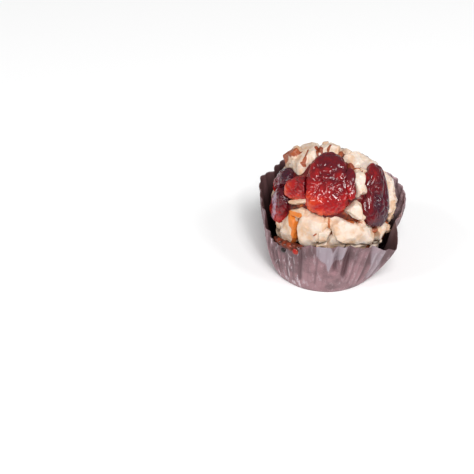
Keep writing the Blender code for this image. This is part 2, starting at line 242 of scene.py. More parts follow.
@dataclass
class Shell:
    """A surface in the making: its points, its faces and the numbers marked on its points."""

    points: Floats
    faces: Indices
    marks: dict[str, Floats] = field(default_factory=dict)

    @staticmethod
    def joined(shells: Sequence["Shell"]) -> "Shell":
        """Joins shells, which all have the same marks.

        Args:
            shells: The shells, one or more.

        Returns:
            One shell that holds them all.
        """
        starts = np.cumsum([0] + [len(shell.points) for shell in shells[:-1]])
        return Shell(
            np.concatenate([shell.points for shell in shells]),
            np.concatenate([shell.faces + start for shell, start in zip(shells, starts)]),
            {name: np.concatenate([shell.marks[name] for shell in shells]) for name in shells[0].marks},
        )

    def piece(
        self, name: str, slot: Slot, material: bpy.types.Material, stands_for: Sequence[str]
    ) -> bpy.types.Object:
        """Makes the shell a piece of the model.

        Args:
            name: The piece's name.
            slot: The record's slot for the piece's finish; not used.
            material: Its finish.
            stands_for: The CAD nodes that it replaces.

        Returns:
            The linked object, riding on the one body.
        """
        mesh = bpy.data.meshes.new(name)
        mesh.from_pydata(self.points.tolist(), [], self.faces.tolist())
        for mark, values in self.marks.items():
            mesh.attributes.new(mark, "FLOAT", "POINT").data.foreach_set("value", values)
        mesh.materials.append(material)
        mesh.shade_smooth()
        made = bpy.data.objects.new(name, mesh)
        bpy.context.scene.collection.objects.link(made)
        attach(made, BODY)
        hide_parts(*stands_for)
        log.info("%s: %d faces", name, len(self.faces))
        return made


@lru_cache(maxsize=None)
def ball(detail: int) -> tuple[Floats, Indices]:
    """An even ball of radius one.

    Args:
        detail: How many times its triangles are split.

    Returns:
        Its points and its triangles.
    """
    shape = bmesh.new()
    bmesh.ops.create_icosphere(shape, subdivisions=detail, radius=1.0)
    points = np.array([corner.co[:] for corner in shape.verts])
    faces = np.array([[corner.index for corner in side.verts] for side in shape.faces])
    shape.free()
    return points, faces


def softened(values: Floats, faces: Indices, rounds: int) -> Floats:
    """Brings the numbers on a surface's points towards their neighbours'.

    Args:
        values: A number for each point.
        faces: The surface's triangles.
        rounds: How many times it is done.

    Returns:
        The softened numbers.
    """
    ends = np.concatenate([faces[:, [0, 1]], faces[:, [1, 2]], faces[:, [2, 0]]])
    count = np.bincount(ends[:, 0], minlength=len(values))
    for _ in range(rounds):
        total = np.bincount(ends[:, 0], weights=values[ends[:, 1]], minlength=len(values))
        values = 0.5 * values + 0.5 * total / count
    return values


# The paper case


@dataclass(frozen=True)
class RimPoint:
    """A point of the crumpled rim: bearing in degrees, radius and height in millimetres."""

    bearing: float
    radius: float
    height: float


@dataclass(frozen=True)
class Pleat:
    """A valley between the front's pleats: its bearing (degrees), its depth and how low it starts."""

    bearing: float
    depth: float
    lowest: float = 0.03


FRONT_PLEATS = (
    Pleat(-68.0, 0.9),
    Pleat(-62.0, 1.0),
    Pleat(-56.0, 0.9),
    Pleat(-50.5, 1.0),
    Pleat(-45.5, 0.7),
    Pleat(-40.0, 1.0),
    Pleat(-33.0, 0.8),
    Pleat(-25.5, 1.35, 0.12),
    Pleat(-17.0, 0.5),
    Pleat(-10.0, 0.75),
    Pleat(-3.0, 0.5),
    Pleat(5.5, 1.1, 0.4),
    Pleat(15.5, 1.6, 0.25),
    Pleat(23.0, 0.7),
    Pleat(29.0, 0.6),
    Pleat(35.5, 1.1),
    Pleat(43.0, 0.8),
    Pleat(51.0, 1.1),
    Pleat(60.0, 0.9),
    Pleat(68.0, 0.9),
)


@dataclass(frozen=True)
class PaleFields:
    """The plain lavender fields of the paper: a leaf in front and a leaning band right of it.

    Bearings and widths are in degrees round the case, heights in shares of its wall.
    """

    leaf_middle: float = 0.5
    leaf_foot: float = 0.52
    leaf_edge: float = 1.0
    stem_width: float = 4.5
    stem_power: float = 0.4
    blade_width: float = 8.5
    blade_climb: Span = (0.22, 0.62)
    notch_middle: float = 2.0
    notch_foot: float = 0.86
    notch_rise: float = 7.0
    notch_slope: float = 0.35
    notch_edge: float = 0.4
    band_middle: float = 52.0
    band_lean: float = 11.0
    band_width: float = 7.0
    band_edge: float = 1.6
    band_start: Span = (0.16, 0.26)
    band_share: float = 0.8

    def at(self, bearings: Floats, shares: Floats) -> Floats:
        """How pale the wall is on a grid.

        Args:
            bearings: The columns' bearings in radians.
            shares: The rows, from 0 at the base to 1 at the rim.

        Returns:
            A grid of numbers from 0 to 1.
        """
        bearing = np.degrees(bearings)[None, :]
        share = shares[:, None]
        climb = np.clip((share - self.leaf_foot) / (1 - self.leaf_foot), 0, 1)
        half = self.stem_width * climb ** self.stem_power
        half += self.blade_width * eased(climb, *self.blade_climb)
        leaf = eased(half - np.abs(bearing - self.leaf_middle), 0.0, self.leaf_edge)
        beside = np.abs(bearing - self.notch_middle) * self.notch_slope
        notch = eased(self.notch_rise * (share - self.notch_foot) - beside, 0.0, self.notch_edge)
        lean = self.band_middle - self.band_lean * share
        band = eased(self.band_width - np.abs(bearing - lean), 0.0, self.band_edge)
        band *= eased(share, *self.band_start)
        return np.maximum(leaf * (1 - notch), self.band_share * band)


@dataclass
class PaperCase:
    """The pleated paper case: its flat base, its fluted wall and its crumpled rim.

    Bearings, spreads, reaches and fades round the case are in degrees. A wave of the pleats'
    unevenness is its part, how many times it goes round and its phase.
    """

    base_radius: float = 15.0 * MM
    base_middle: Vector = field(default_factory=lambda: Vector((-1.9 * MM, 0.0, 0.0)))
    wall_bulge: float = 0.7 * MM
    bulge_power: float = 0.8
    solid_paper: float = 0.3 * MM
    shown_paper: float = 0.14 * MM
    flutes: int = 36
    depth_base: float = 0.18 * MM
    depth_rim: float = 0.75 * MM
    unevenness: float = 0.5
    waves: tuple[tuple[float, int, float], ...] = ((0.6, 5, 0.6), (0.4, 11, 0.0))
    drift: float = 0.5
    drift_waves: int = 3
    even_crease: float = 1.7
    front_crease: float = 2.4
    pleat_fade: float = 0.2
    shown_depth: float = 0.85
    columns_per_flute: int = 18
    rows: int = 44
    ragged: float = 0.22 * MM
    ragged_lump: float = 2.4 * MM
    crumple: float = 0.22 * MM
    crumple_lump: float = 3.6 * MM
    crumple_stretch: Stretch = (1.0, 1.0, 0.6)
    wave_lump: float = 8.0 * MM
    crease_lump: float = 1.7 * MM
    crease_share: float = 0.4
    flare_bearing: float = 104.0
    flare_spread: float = 40.0
    flare_fade: float = 12.0
    flare_crumple: float = 3.8
    flare_flutes: float = 0.3
    # Painted highlights: white glints on the ridges, strongest round this bearing.
    painted_glint_bearing: float = -42.0
    painted_glint_spread: float = 24.0
    painted_glint_fade: float = 8.0
    front_reach: float = 62.0
    front_fade: float = 8.0
    rim_share: float = 0.45
    rim_fade: Span = (0.7, 1.0)
    pale_fields: PaleFields = field(default_factory=PaleFields)
    rim: tuple[RimPoint, ...] = (
        RimPoint(-160, 20.8, 22.2),
        RimPoint(-137, 23.0, 23.6),
        RimPoint(-122, 21.5, 23.5),
        RimPoint(-108, 22.4, 24.1),
        RimPoint(-88, 20.9, 23.2),
        RimPoint(-74, 20.4, 21.6),
        RimPoint(-65, 20.4, 16.9),
        RimPoint(-54, 20.4, 15.2),
        RimPoint(-40, 20.3, 15.6),
        RimPoint(-14, 20.3, 19.8),
        RimPoint(12, 20.3, 20.2),
        RimPoint(34, 20.2, 18.2),
        RimPoint(48, 20.8, 15.4),
        RimPoint(57, 22.0, 14.0),
        RimPoint(70, 19.4, 21.0),
        RimPoint(81, 19.6, 21.3),
        RimPoint(94, 21.2, 21.6),
        RimPoint(112, 21.6, 22.2),
        RimPoint(128, 22.0, 21.8),
        RimPoint(150, 20.8, 22.0),
    )

    def rim_at(self, bearing: float) -> Vector:
        """The rim's line, eased between the listed points.

        Args:
            bearing: Where, in radians.

        Returns:
            The point of the line.
        """
        degrees = math.degrees(bearing)
        for before, after in zip(self.rim, self.rim[1:] + self.rim[:1]):
            span = (after.bearing - before.bearing) % 360
            along = (degrees - before.bearing) % 360
            if along <= span:
                break
        ease = 0.5 - 0.5 * math.cos(math.pi * along / span)
        radius = (before.radius + (after.radius - before.radius) * ease) * MM
        height = (before.height + (after.height - before.height) * ease) * MM
        return outward(bearing) * radius + Vector((0, 0, height))

    def base_at(self, bearing: float) -> Vector:
        """The edge of the flat base at a bearing in radians."""
        return self.base_middle + outward(bearing) * self.base_radius

    def clearance(self, gap: float) -> float:
        """How far inside the rim's line a piece stays clear of the flutes."""
        return self.solid_paper + gap + (1 + self.unevenness) * self.depth_rim

    def pleat(self, bearings: Floats, shares: Floats) -> Floats:
        """The wave of the pleats: even at the sides and the back, one by one in front.

        Args:
            bearings: The columns' bearings in radians.
            shares: The rows, from 0 at the base to 1 at the rim.

        Returns:
            A grid of numbers, from -1 in a narrow valley to 1 on a ridge.
        """
        wave = np.sin(self.flutes * bearings + self.drift * np.sin(self.drift_waves * bearings))
        even = 1 - 2 * (0.5 - 0.5 * wave) ** self.even_crease
        degrees = (np.degrees(bearings) + 180) % 360 - 180
        valleys = np.zeros((len(shares), len(bearings)))
        for one, other in itertools.pairwise(FRONT_PLEATS):
            along = (degrees - one.bearing) / (other.bearing - one.bearing)
            between = (along >= 0) & (along <= 1)
            for pleat, near in ((one, 1 - along), (other, along)):
                starts = eased(shares, pleat.lowest, pleat.lowest + self.pleat_fade)[:, None]
                valley = pleat.depth * np.clip(near, 0, 1) ** self.front_crease * between
                valleys = np.maximum(valleys, starts * valley)
        front = eased(self.front_reach - np.abs(degrees), 0.0, self.front_fade)
        ends = 1 - (1 - self.rim_share) * eased(shares, *self.rim_fade)[:, None]
        return ((1 - front) * even + front * (1 - 2 * valleys)) * ends

    def wall(self, bearings: Floats, shares: Floats, inset: float) -> Floats:
        """A grid of points on the wall.

        Args:
            bearings: The columns' bearings in radians.
            shares: The rows, from 0 at the base to 1 at the rim.
            inset: How far inside the paper's outer face the points lie.

        Returns:
            The points, one row of the grid after another.
        """
        base = np.array([self.base_at(b)[:] for b in bearings])
        rim = np.array([self.rim_at(b)[:] for b in bearings])
        rim[:, 2] += self.ragged * noise(rim, self.ragged_lump, Seed.RIM)
        out = np.array([outward(b)[:] for b in bearings])
        uneven = sum(part * np.sin(count * bearings + phase) for part, count, phase in self.waves)
        share = shares[:, None]
        depth = self.depth_base + (self.shown_depth * self.depth_rim - self.depth_base) * share
        flute = depth * (1 + self.unevenness * uneven) * self.pleat(bearings, shares)
        bulge = self.wall_bulge * np.sin(math.pi * share ** self.bulge_power)
        grid = base[None] + (rim - base)[None] * share[..., None]
        flat = grid.reshape(-1, 3)
        crumple = self.crumple * noise(flat * self.crumple_stretch, self.crumple_lump, Seed.CRUMPLE)
        crumple += self.crumple * noise(flat, self.wave_lump, Seed.PAPER_WAVES)
        creases = np.abs(noise(flat, self.crease_lump, Seed.PAPER_CREASES))
        crumple += self.crease_share * self.crumple * creases
        flare = self.flare(bearings) * share ** 2
        crumple = crumple.reshape(flute.shape) * (1 + self.flare_crumple * flare)
        flute *= 1 - (1 - self.flare_flutes) * flare
        push = bulge + flute - inset + crumple * np.sqrt(share)
        grid = grid + out[None] * push[..., None]
        grid[..., 2] = np.maximum(grid[..., 2], inset)
        return grid.reshape(-1, 3)

    def flare(self, bearings: Floats) -> Floats:
        """Where the rim is pressed out and crumpled, from 0 to 1, for bearings in radians."""
        away = (np.degrees(bearings) - self.flare_bearing + 180) % 360 - 180
        return eased(self.flare_spread - np.abs(away), 0.0, self.flare_fade)

    def shell(self) -> Shell:
        """The case as one thin closed surface.

        Returns:
            The surface, marked with its inside, pale fields, pleats, height, flare and where glints are
            painted.
        """
        columns = self.flutes * self.columns_per_flute
        bearings = (2 * math.pi * np.arange(columns)) / columns
        around = np.where(bearings > math.pi, bearings - 2 * math.pi, bearings)
        shares = np.linspace(0.0, 1.0, self.rows)
        outer = self.wall(bearings, shares, 0.0)
        inner = self.wall(bearings, shares[::-1], self.shown_paper)
        middle = np.array([self.base_middle[:]])
        points = np.concatenate([outer, inner, middle, middle + (0, 0, self.shown_paper)])
        rows = 2 * self.rows
        here = np.arange(columns)
        after = (here + 1) % columns
        faces = []
        for row in range(rows - 1):
            low, high = row * columns, (row + 1) * columns
            faces.append(np.stack([low + here, low + after, high + after], axis=1))
            faces.append(np.stack([low + here, high + after, high + here], axis=1))
        under, over, last = rows * columns, rows * columns + 1, (rows - 1) * columns
        faces.append(np.stack([np.full(columns, under), after, here], axis=1))
        faces.append(np.stack([np.full(columns, over), last + here, last + after], axis=1))
        inside = np.repeat([0.0, 1.0], self.rows * columns)
        beside = np.abs(np.degrees(around) - self.painted_glint_bearing)
        painted_glint_zone = eased(self.painted_glint_spread - beside, 0.0, self.painted_glint_fade)
        fields = self.pale_fields.at(around, shares).ravel()
        pleats = self.pleat(bearings, shares)
        heights = np.concatenate([np.repeat(shares, columns), np.repeat(shares[::-1], columns)])
        marks = {
            "inside": np.append(inside, (0.0, 1.0)),
            "pale": np.append(np.concatenate([fields, 0 * fields]), (0.0, 0.0)),
            "pleat": np.append(np.concatenate([pleats.ravel(), pleats[::-1].ravel()]), (0.0, 0.0)),
            "height": np.append(heights, (0.0, 0.0)),
            "flare": np.append(np.tile(self.flare(bearings), rows), (0.0, 0.0)),
            "painted_glint_zone": np.append(np.tile(painted_glint_zone, rows), (0.0, 0.0)),
        }
        return Shell(points, np.concatenate(faces), marks)

    def build(self, finish: "PaperFinish") -> bpy.types.Object:
        """Makes the case and dresses it in its paper."""
        return self.shell().piece("fluted_case", Slot.PAPER, finish.material(), ["paper_case"])


# Where the pieces of the laddu go


class NutKind(Enum):
    """The kinds of nut, by the name of the piece that each kind makes."""

    FRONT_HIGH = "nuts_front_high"
    FRONT_LOW = "nuts_front_low"
    LARGE = "nuts_large"
    SMALL = "nuts_small"


@dataclass
class Piece:
    """A nut or berry: its middle, its length, width and outward axes, its size and its cuts.

    Its skin is the point of the laddu's skin where it lies. An outline holds a listed nut's corners
    along its first two axes, and a cut is a plane's normal and its distance from the middle.
    """

    skin: Vector
    middle: Vector
    axes: tuple[Vector, Vector, Vector]
    half: tuple[float, float, float]
    taper: float = 0.0
    toast: float = 0.5
    lap: float = 0.0
    kind: Optional[NutKind] = None
    filler: bool = False
    outline: list[tuple[float, float]] = field(default_factory=list)
    cuts: list[tuple[Vector, float]] = field(default_factory=list)

    def reach(self, way: Vector) -> float:
        """How far the piece's ellipsoid reaches from its middle in a direction."""
        return math.sqrt(sum((h * a.dot(way)) ** 2 for h, a in zip(self.half, self.axes)))

    def facing(self, point: Vector) -> Vector:
        """Which way the piece's ellipsoid faces towards a point.

        Args:
            point: The point, outside the ellipsoid.

        Returns:
            The outward normal where the line to the point leaves it.
        """
        to = point - self.middle
        slopes = (a * (to.dot(a) / h ** 2) for h, a in zip(self.half, self.axes))
        return sum(slopes, Vector()).normalized()

    def cut_face(self, angle: float, draft: float, share: float) -> None:
        """Cuts a flat face on the piece.

        Args:
            angle: Which side it faces, in radians round the outward axis from the length axis.
            draft: How far it leans outward, in degrees.
            share: How much of the piece's reach that way is left.
        """
        length, width, out = self.axes
        lean = math.radians(draft)
        flat = length * math.cos(angle) + width * math.sin(angle)
        normal = (flat * math.cos(lean) + out * math.sin(lean)).normalized()
        self.cuts.append((normal, self.reach(normal) * share))

    def footprint(self) -> float:
        """The radius of a circle about as large as the piece looks from outside."""
        return math.sqrt(self.half[0] * self.half[1])

    def gauge(self, points: Floats) -> Floats:
        """How far out points lie in the piece's ellipsoid, 1 on its surface."""
        local = (points - np.array(self.middle)) @ np.array([a[:] for a in self.axes]).T
        return np.linalg.norm(local / np.array(self.half), axis=1)


@dataclass(frozen=True)
class Berry:
    """A whole dried cranberry: where it lies, its size in millimetres and how it looks."""

    name: str
    bearing: float
    rise: float
    length: float
    width: float
    turn: float
    taper: float
    ripeness: float
    # Painted glow: the underglow lights the colour towards the berry's bottom and the side glow towards
    # one end, as light shining through the skin; below zero they darken it.
    painted_underglow: float = 0.40
    painted_side_glow: float = 0.12
    film: float = 0.0


@dataclass(frozen=True)
class Nut:
    """A nut facing the front: its stand (mm), toast, corners on the skin, lap over berries (mm).

    A filler is a low one that only closes a gap.
    """

    stand: float
    toast: float
    corners: tuple[Spot, ...]
    lap: float = 0.0
    filler: bool = False


@dataclass(frozen=True)
class NutRule:
    """A rule for nuts that no list places: kind, tries, least and most length (mm), crowding, reach."""

    kind: NutKind
    tries: int
    least: float
    most: float
    crowding: float
    reach: float


BERRIES = (
    Berry("cranberry_front_top", -12, 54.8, 18.3, 12.8, 98, 0.16, 0.68),
    Berry("cranberry_right", 58.2, 32, 18.2, 9.4, 54, 0.20, 0.38, painted_underglow=-0.10, painted_side_glow=0.40),
    Berry("cranberry_left_upper", -47.5, 39.8, 10.4, 6.9, 28, 0.0, 0.74),
    Berry("cranberry_left_lower", -69, 12, 11.2, 8.4, 78, 0.10, 0.60, film=0.72),
    Berry("cranberry_left_back", -84, 29, 9.2, 7.8, 60, 0.0, 0.46, film=0.55),
    Berry("cranberry_right_small", 25, 51, 9.4, 3.0, 76, -0.10, 0.56),
    Berry("cranberry_back_left", -146, 6, 15.0, 11.0, 30, 0.10, 0.60),
    Berry("cranberry_back_right", 152, 9, 14.8, 11.8, 115, 0.12, 0.46),
    Berry("cranberry_back_high", -179, 22, 12.0, 9.2, 12, 0.0, 0.30),
    Berry("cranberry_right_back", 118, 2, 12.4, 9.8, 65, 0.08, 0.50),
)

FRONT_NUTS = (
    Nut(0.3, 0.5, ((-92, 44), (-106, 30), (-130, 36), (-146, 54), (-124, 69), (-82, 71), (-55, 64),
                   (-57, 52), (-74, 46))),
    Nut(0.4, 0.3, ((-112, 71), (-150, 70), (150, 78), (24, 82), (-6, 78), (-45, 80), (-80, 75))),
    Nut(0.4, 0.2, ((40, 82), (96, 76), (118, 60), (108, 42), (90, 44), (76, 56), (60, 62), (38, 67),
                   (19, 74))),
    Nut(0.3, 0.6, ((25, 68), (46, 66), (58, 59), (47, 58), (28, 61))),
    Nut(1.3, 0.2, ((37, 60), (47, 59), (51, 55), (47, 50), (38, 44), (30, 38), (28, 44),
                   (27, 51)), 1.6),
    Nut(0.7, 0.4, ((13, 29), (26, 36), (29, 35), (35, 29), (36, 23), (31, 20), (23, 20))),
    Nut(0.6, 0.4, ((-2, 22), (1, 24), (20, 17), (37, 11), (43, 5), (44, -4), (38, -8), (14, -2),
                   (1, 7))),
    Nut(0.5, 0.5, ((-27, 28), (-22, 31), (-2, 25), (-3, 17), (-13, -3), (-16, -12), (-25, -14), (-34, 1),
                   (-34, 14))),
    Nut(0.8, 0.3, ((-13, 10), (-6, 13), (-2, 10), (-4, 1), (-12, -2))),
    Nut(0.4, 0.6, ((-65, 3), (-57, 10), (-47, 16), (-38, 14), (-35, 6), (-35, -9), (-43, -17),
                   (-57, -12))),
    Nut(-0.1, 1.0, ((-49, 17), (-45, 20), (-37, 24), (-30, 25), (-28, 20), (-34, 15), (-44, 14))),
    Nut(0.4, 0.25, ((75, 52), (84, 50), (95, 43), (98, 26), (90, 14), (76, 8), (64, 8), (58, 16),
                    (70, 30)), 0.6),
    Nut(0.3, 0.6, ((46, 4), (54, 6), (64, 2), (70, -8), (66, -16), (56, -18), (47, -10))),
    Nut(0.3, 0.6, ((45, 14), (53, 13), (63, 7), (60, 2), (48, 5))),
    Nut(0.1, 0.6, ((-1, 5), (3, 8), (14, 0), (12, -10), (-2, -12), (-6, -3)), filler=True),
    Nut(0.0, 0.6, ((13, -3), (36, -8), (36, -20), (14, -18)), filler=True),
    Nut(0.1, 0.6, ((-15, -4), (-4, -1), (-2, -12), (-14, -16)), filler=True),
    Nut(0.5, 0.8, ((-55, 21), (-52, 26), (-43, 31), (-36, 37), (-29, 37), (-26, 33), (-33, 30),
                   (-43, 25)), 1.3),
    Nut(1.9, 0.9, ((-112, 34), (-126, 42), (-120, 54), (-100, 58), (-90, 50), (-96, 38))),
)

NUT_RULES = (
    NutRule(NutKind.LARGE, 900, 8.6, 12.0, 0.78, 1.00),
    NutRule(NutKind.LARGE, 900, 5.6, 8.0, 0.76, 0.98),
    NutRule(NutKind.SMALL, 1500, 3.8, 5.2, 0.72, 0.96),
)


@dataclass
class Laddu:
    """The ball itself: its skin, and where its berries and nuts lie and how they are cut.

    Drafts and turns are in degrees. Reaches, shares, crowdings and the like are parts of a piece's
    own size or of the ball's. A care is how many of its own reaches a piece may be away from a side
    or a wall and still be cut by it.
    """

    case: PaperCase
    gap: float = 0.3 * MM
    radius: float = 18.1 * MM
    half_height: float = 19.4 * MM
    shoulder: Spot = (140, 46)
    shoulder_drop: float = 0.16
    shoulder_width: int = 7
    nut_root: float = 0.52
    crown: float = 0.65
    crease_depth: Span = (0.86, 0.97)
    least_left: float = 0.9 * MM
    berry_thickness: float = 0.58
    berry_stand: float = 0.6 * MM
    lowest_rise: float = -28.0
    seed: int = 41
    nut_widths: Span = (0.62, 0.92)
    nut_lean: float = 0.22
    nut_sides: tuple[int, ...] = (4, 5, 5, 6)
    side_spread: float = 0.18
    side_draft: Span = (-8, 30)
    side_reach: Span = (0.88, 1.0)
    chip_draft: Span = (46, 64)
    chip_reach: Span = (0.86, 0.98)
    toast_step: float = 1.7
    front_high: float = 27.0 * MM
    front_draft: float = 6.0
    front_seam: float = 0.1 * MM
    berry_gap: float = -0.4 * MM
    berry_press: float = -0.35 * MM
    nut_gap: float = 0.08 * MM
    side_care: float = 2.0
    wall_care: float = 1.5
    wall_looks: tuple[float, ...] = (-30, -15, 0, 15, 30)
    berries: list[Piece] = field(default_factory=list)
    nuts: list[Piece] = field(default_factory=list)

    @property
    def centre(self) -> Vector:
        """The middle of the ball."""
        return Vector((0.0, 0.0, self.case.solid_paper + self.gap + self.half_height))

    def on_skin(self, bearing: float, rise: float) -> tuple[Vector, Vector]:
        """A point on the laddu's skin.

        Args:
            bearing: Its bearing in degrees.
            rise: Its rise in degrees.

        Returns:
            The point and its outward normal.
        """
        way = direction(bearing, rise)
        near = max(0.0, way.dot(direction(*self.shoulder)))
        share = 1 - self.shoulder_drop * near ** self.shoulder_width
        sizes = Vector((self.radius, self.radius, self.half_height))
        normal = Vector(part / size for part, size in zip(way, sizes)).normalized()
        return self.centre + Vector(w * s * share for w, s in zip(way, sizes)), normal

    def skin_share(self, points: Floats) -> Floats:
        """How far out points lie in the ball.

        Args:
            points: One row for each point.

        Returns:
            A number for each, from 0 in the middle to 1 on the skin.
        """
        local = (points - np.array(self.centre)) / (self.radius, self.radius, self.half_height)
        size = np.linalg.norm(local, axis=1)
        near = np.maximum(0.0, unit(local) @ np.array(direction(*self.shoulder)))
        return size / (1 - self.shoulder_drop * near ** self.shoulder_width)

    def sunk(self, points: Floats) -> Floats:
        """How deep points lie in the creases between the pieces, from 0 to 1."""
        return 1 - eased(self.skin_share(points), *self.crease_depth)

    def place(
        self,
        spot: Spot,
        size: tuple[float, float, float],
        turn: float,
        stand: float,
        lean: tuple[float, float] = (0.0, 0.0),
    ) -> Piece:
        """A piece whose outer face stands proud of the skin.

        Args:
            spot: Its bearing and rise in degrees.
            size: Its length, width and depth in metres.
            turn: How far its length is turned from level, in degrees.
            stand: How far its outer face stands out from the skin.
            lean: How far it leans about its length and its width, in radians.

        Returns:
            The piece, not cut yet.
        """
        skin, normal = self.on_skin(*spot)
        across = along_skin(math.radians(spot[0]))
        turned = Matrix.Rotation(math.radians(turn), 3, normal)
        axes = [turned @ across, turned @ normal.cross(across), normal]
        tilt = Matrix.Rotation(lean[0], 3, axes[0]) @ Matrix.Rotation(lean[1], 3, axes[1])
        half = tuple(0.5 * side for side in size)
        middle = skin + normal * (stand - half[2])
        return Piece(skin, middle, tuple(tilt @ axis for axis in axes), half)

    def nut_depth(self, stand: float) -> float:
        """How deep a nut goes from its outer face to its root inside the laddu."""
        return (1 - self.nut_root) * self.radius + stand

    def round_face(self, piece: Piece, ends: Sequence[Vector]) -> None:
        """Tilts a nut's outer face down towards its ends, so that it follows the laddu's skin.

        Args:
            piece: The nut, which gets a cut for each end.
            ends: Where its ends lie, as seen from its middle.
        """
        out = piece.axes[2]
        top = (piece.middle - self.centre).length + piece.half[2]
        for end in ends:
            normal = (out + end * self.crown / top).normalized()
            piece.cuts.append((normal, top - (piece.middle - self.centre).dot(normal)))

    def cut_sides(self, piece: Piece, sides: int, draw: random.Random) -> None:
        """Cuts a chopped nut's outline, rounds its outer face to the skin and chips one edge.

        Args:
            piece: The nut, which gets the cuts.
            sides: How many sides its outline has.
            draw: The random numbers that shape it.
        """
        phase = draw.uniform(0, 2 * math.pi)
        for k in range(sides):
            angle = phase + 2 * math.pi * (k + draw.uniform(-self.side_spread, self.side_spread)) / sides
            draft = draw.uniform(*self.side_draft)
            piece.cut_face(angle, draft, draw.uniform(*self.side_reach))
        along, across = piece.axes[0] * piece.half[0], piece.axes[1] * piece.half[1]
        self.round_face(piece, (along, -along, across, -across))
        draft = draw.uniform(*self.chip_draft)
        angle = draw.uniform(0, 2 * math.pi)
        piece.cut_face(angle, draft, draw.uniform(*self.chip_reach))

    def front_nut(self, nut: Nut) -> Piece:
        """A nut cut to its corners on the skin, whose outer face stands proud of it.

        Args:
            nut: The listed nut.

        Returns:
            The piece with its outline and its cuts.
        """
        stand = nut.stand * MM
        points = [self.on_skin(*corner)[0] for corner in nut.corners]
        way = sum((p - self.centre for p in points), Vector()).normalized()
        spot = (math.degrees(math.atan2(way.x, -way.y)), math.degrees(math.asin(way.z)))
        around = self.place(spot, (0.0, 0.0, self.nut_depth(stand)), 0.0, stand)
        across, up, out = around.axes
        lefts = [(p - around.middle).dot(across) for p in points]
        lows = [(p - around.middle).dot(up) for p in points]
        middle = around.middle + across * 0.5 * (min(lefts) + max(lefts))
        middle += up * 0.5 * (min(lows) + max(lows))
        half = (0.5 * (max(lefts) - min(lefts)), 0.5 * (max(lows) - min(lows)), around.half[2])
        skin = middle + out * (around.half[2] - stand)
        piece = Piece(skin, middle, around.axes, half, toast=nut.toast, lap=nut.lap * MM)
        piece.kind = NutKind.FRONT_HIGH if skin.z > self.front_high else NutKind.FRONT_LOW
        piece.filler = nut.filler
        piece.outline = [((p - middle).dot(across), (p - middle).dot(up)) for p in points]
        draft = math.radians(self.front_draft)
        pairs = list(zip(points, points[1:] + points[:1]))
        clockwise = sum((here - middle).cross(after - middle).dot(out) for here, after in pairs) < 0
        for here, after in pairs:
            flat = (after - here).cross(out).normalized()
            if clockwise:
                flat.negate()
            normal = flat * math.cos(draft) + out * math.sin(draft)
            piece.cuts.append((normal, (here - middle).dot(normal) - self.front_seam))
        self.round_face(piece, [p - middle - out * (p - middle).dot(out) for p in points])
        return piece

    def scatter_nuts(self, pieces: list[Piece], draw: random.Random) -> list[Piece]:
        """Nuts for what the lists leave bare, the largest first.

        Args:
            pieces: The berries and nuts that are there.
            draw: The random numbers that place and shape them.

        Returns:
            The nuts, cut to their outlines.
        """
        nuts: list[Piece] = []
        for rule in NUT_RULES:
            for _ in range(rule.tries):
                bearing = draw.uniform(-180, 180)
                lowest = math.sin(math.radians(self.lowest_rise))
                rise = math.degrees(math.asin(draw.uniform(lowest, 1)))
                length = draw.uniform(rule.least, rule.most) * MM
                width = length * draw.uniform(*self.nut_widths)
                lean = tuple(draw.uniform(-self.nut_lean, self.nut_lean) for _ in range(2))
                turn = draw.uniform(0, 180)
                sides = draw.choice(self.nut_sides)
                room = rule.crowding * 0.5 * math.sqrt(length * width)
                skin = self.on_skin(bearing, rise)[0]
                overlaps = (
                    room + rule.crowding * other.footprint() - (skin - other.skin).length
                    for other in pieces + nuts
                )
                if any(overlap > 0 for overlap in overlaps):
                    continue
                stand = (rule.reach - 1) * self.radius
                size = (length, width, self.nut_depth(stand))
                nut = self.place((bearing, rise), size, turn, stand, lean)
                self.cut_sides(nut, sides, draw)
                nut.kind = rule.kind
                nut.toast = 0.5 + 0.5 * math.sin(self.toast_step * len(nuts))
                nuts.append(nut)
        return nuts

    def cut_by_side(self, piece: Piece, firm: Piece, gap: float) -> None:
        """Cuts a piece back from the side of a firmer one.

        Args:
            piece: The piece that is cut.
            firm: The piece that stays whole.
            gap: How far apart they are left.
        """
        normal = firm.facing(piece.middle)
        room = (piece.middle - firm.middle).dot(normal) - firm.reach(normal) - gap
        if room < self.side_care * piece.reach(normal):
            piece.cuts.append((-normal, room))

    def cut_between(self, one: Piece, other: Piece) -> None:
        """Cuts two pieces that would meet by a plane between them, half a gap from each.

        Args:
            one: A piece.
            other: Another piece.
        """
        apart = other.middle - one.middle
        way = apart.normalized()
        near, far = one.reach(way), other.reach(way)
        if apart.length > near + far + self.nut_gap:
            return
        limit = apart.length * near / (near + far)
        one.cuts.append((way, limit - 0.5 * self.nut_gap))
        other.cuts.append((-way, apart.length - limit - 0.5 * self.nut_gap))

    def keep_in_case(self, piece: Piece) -> None:
        """Cuts a piece back from the case's wall where it could touch it.

        Args:
            piece: The piece, which gets the cuts.
        """
        facing = math.atan2(piece.middle.x, -piece.middle.y)
        clear = self.case.clearance(self.gap)
        for step in self.wall_looks:
            bearing = facing + math.radians(step)
            base = self.case.base_at(bearing)
            normal = along_skin(bearing).cross(self.case.rim_at(bearing) - base).normalized()
            room = (base - piece.middle).dot(normal) - clear
            if room < self.wall_care * piece.reach(normal):
                piece.cuts.append((normal, room))

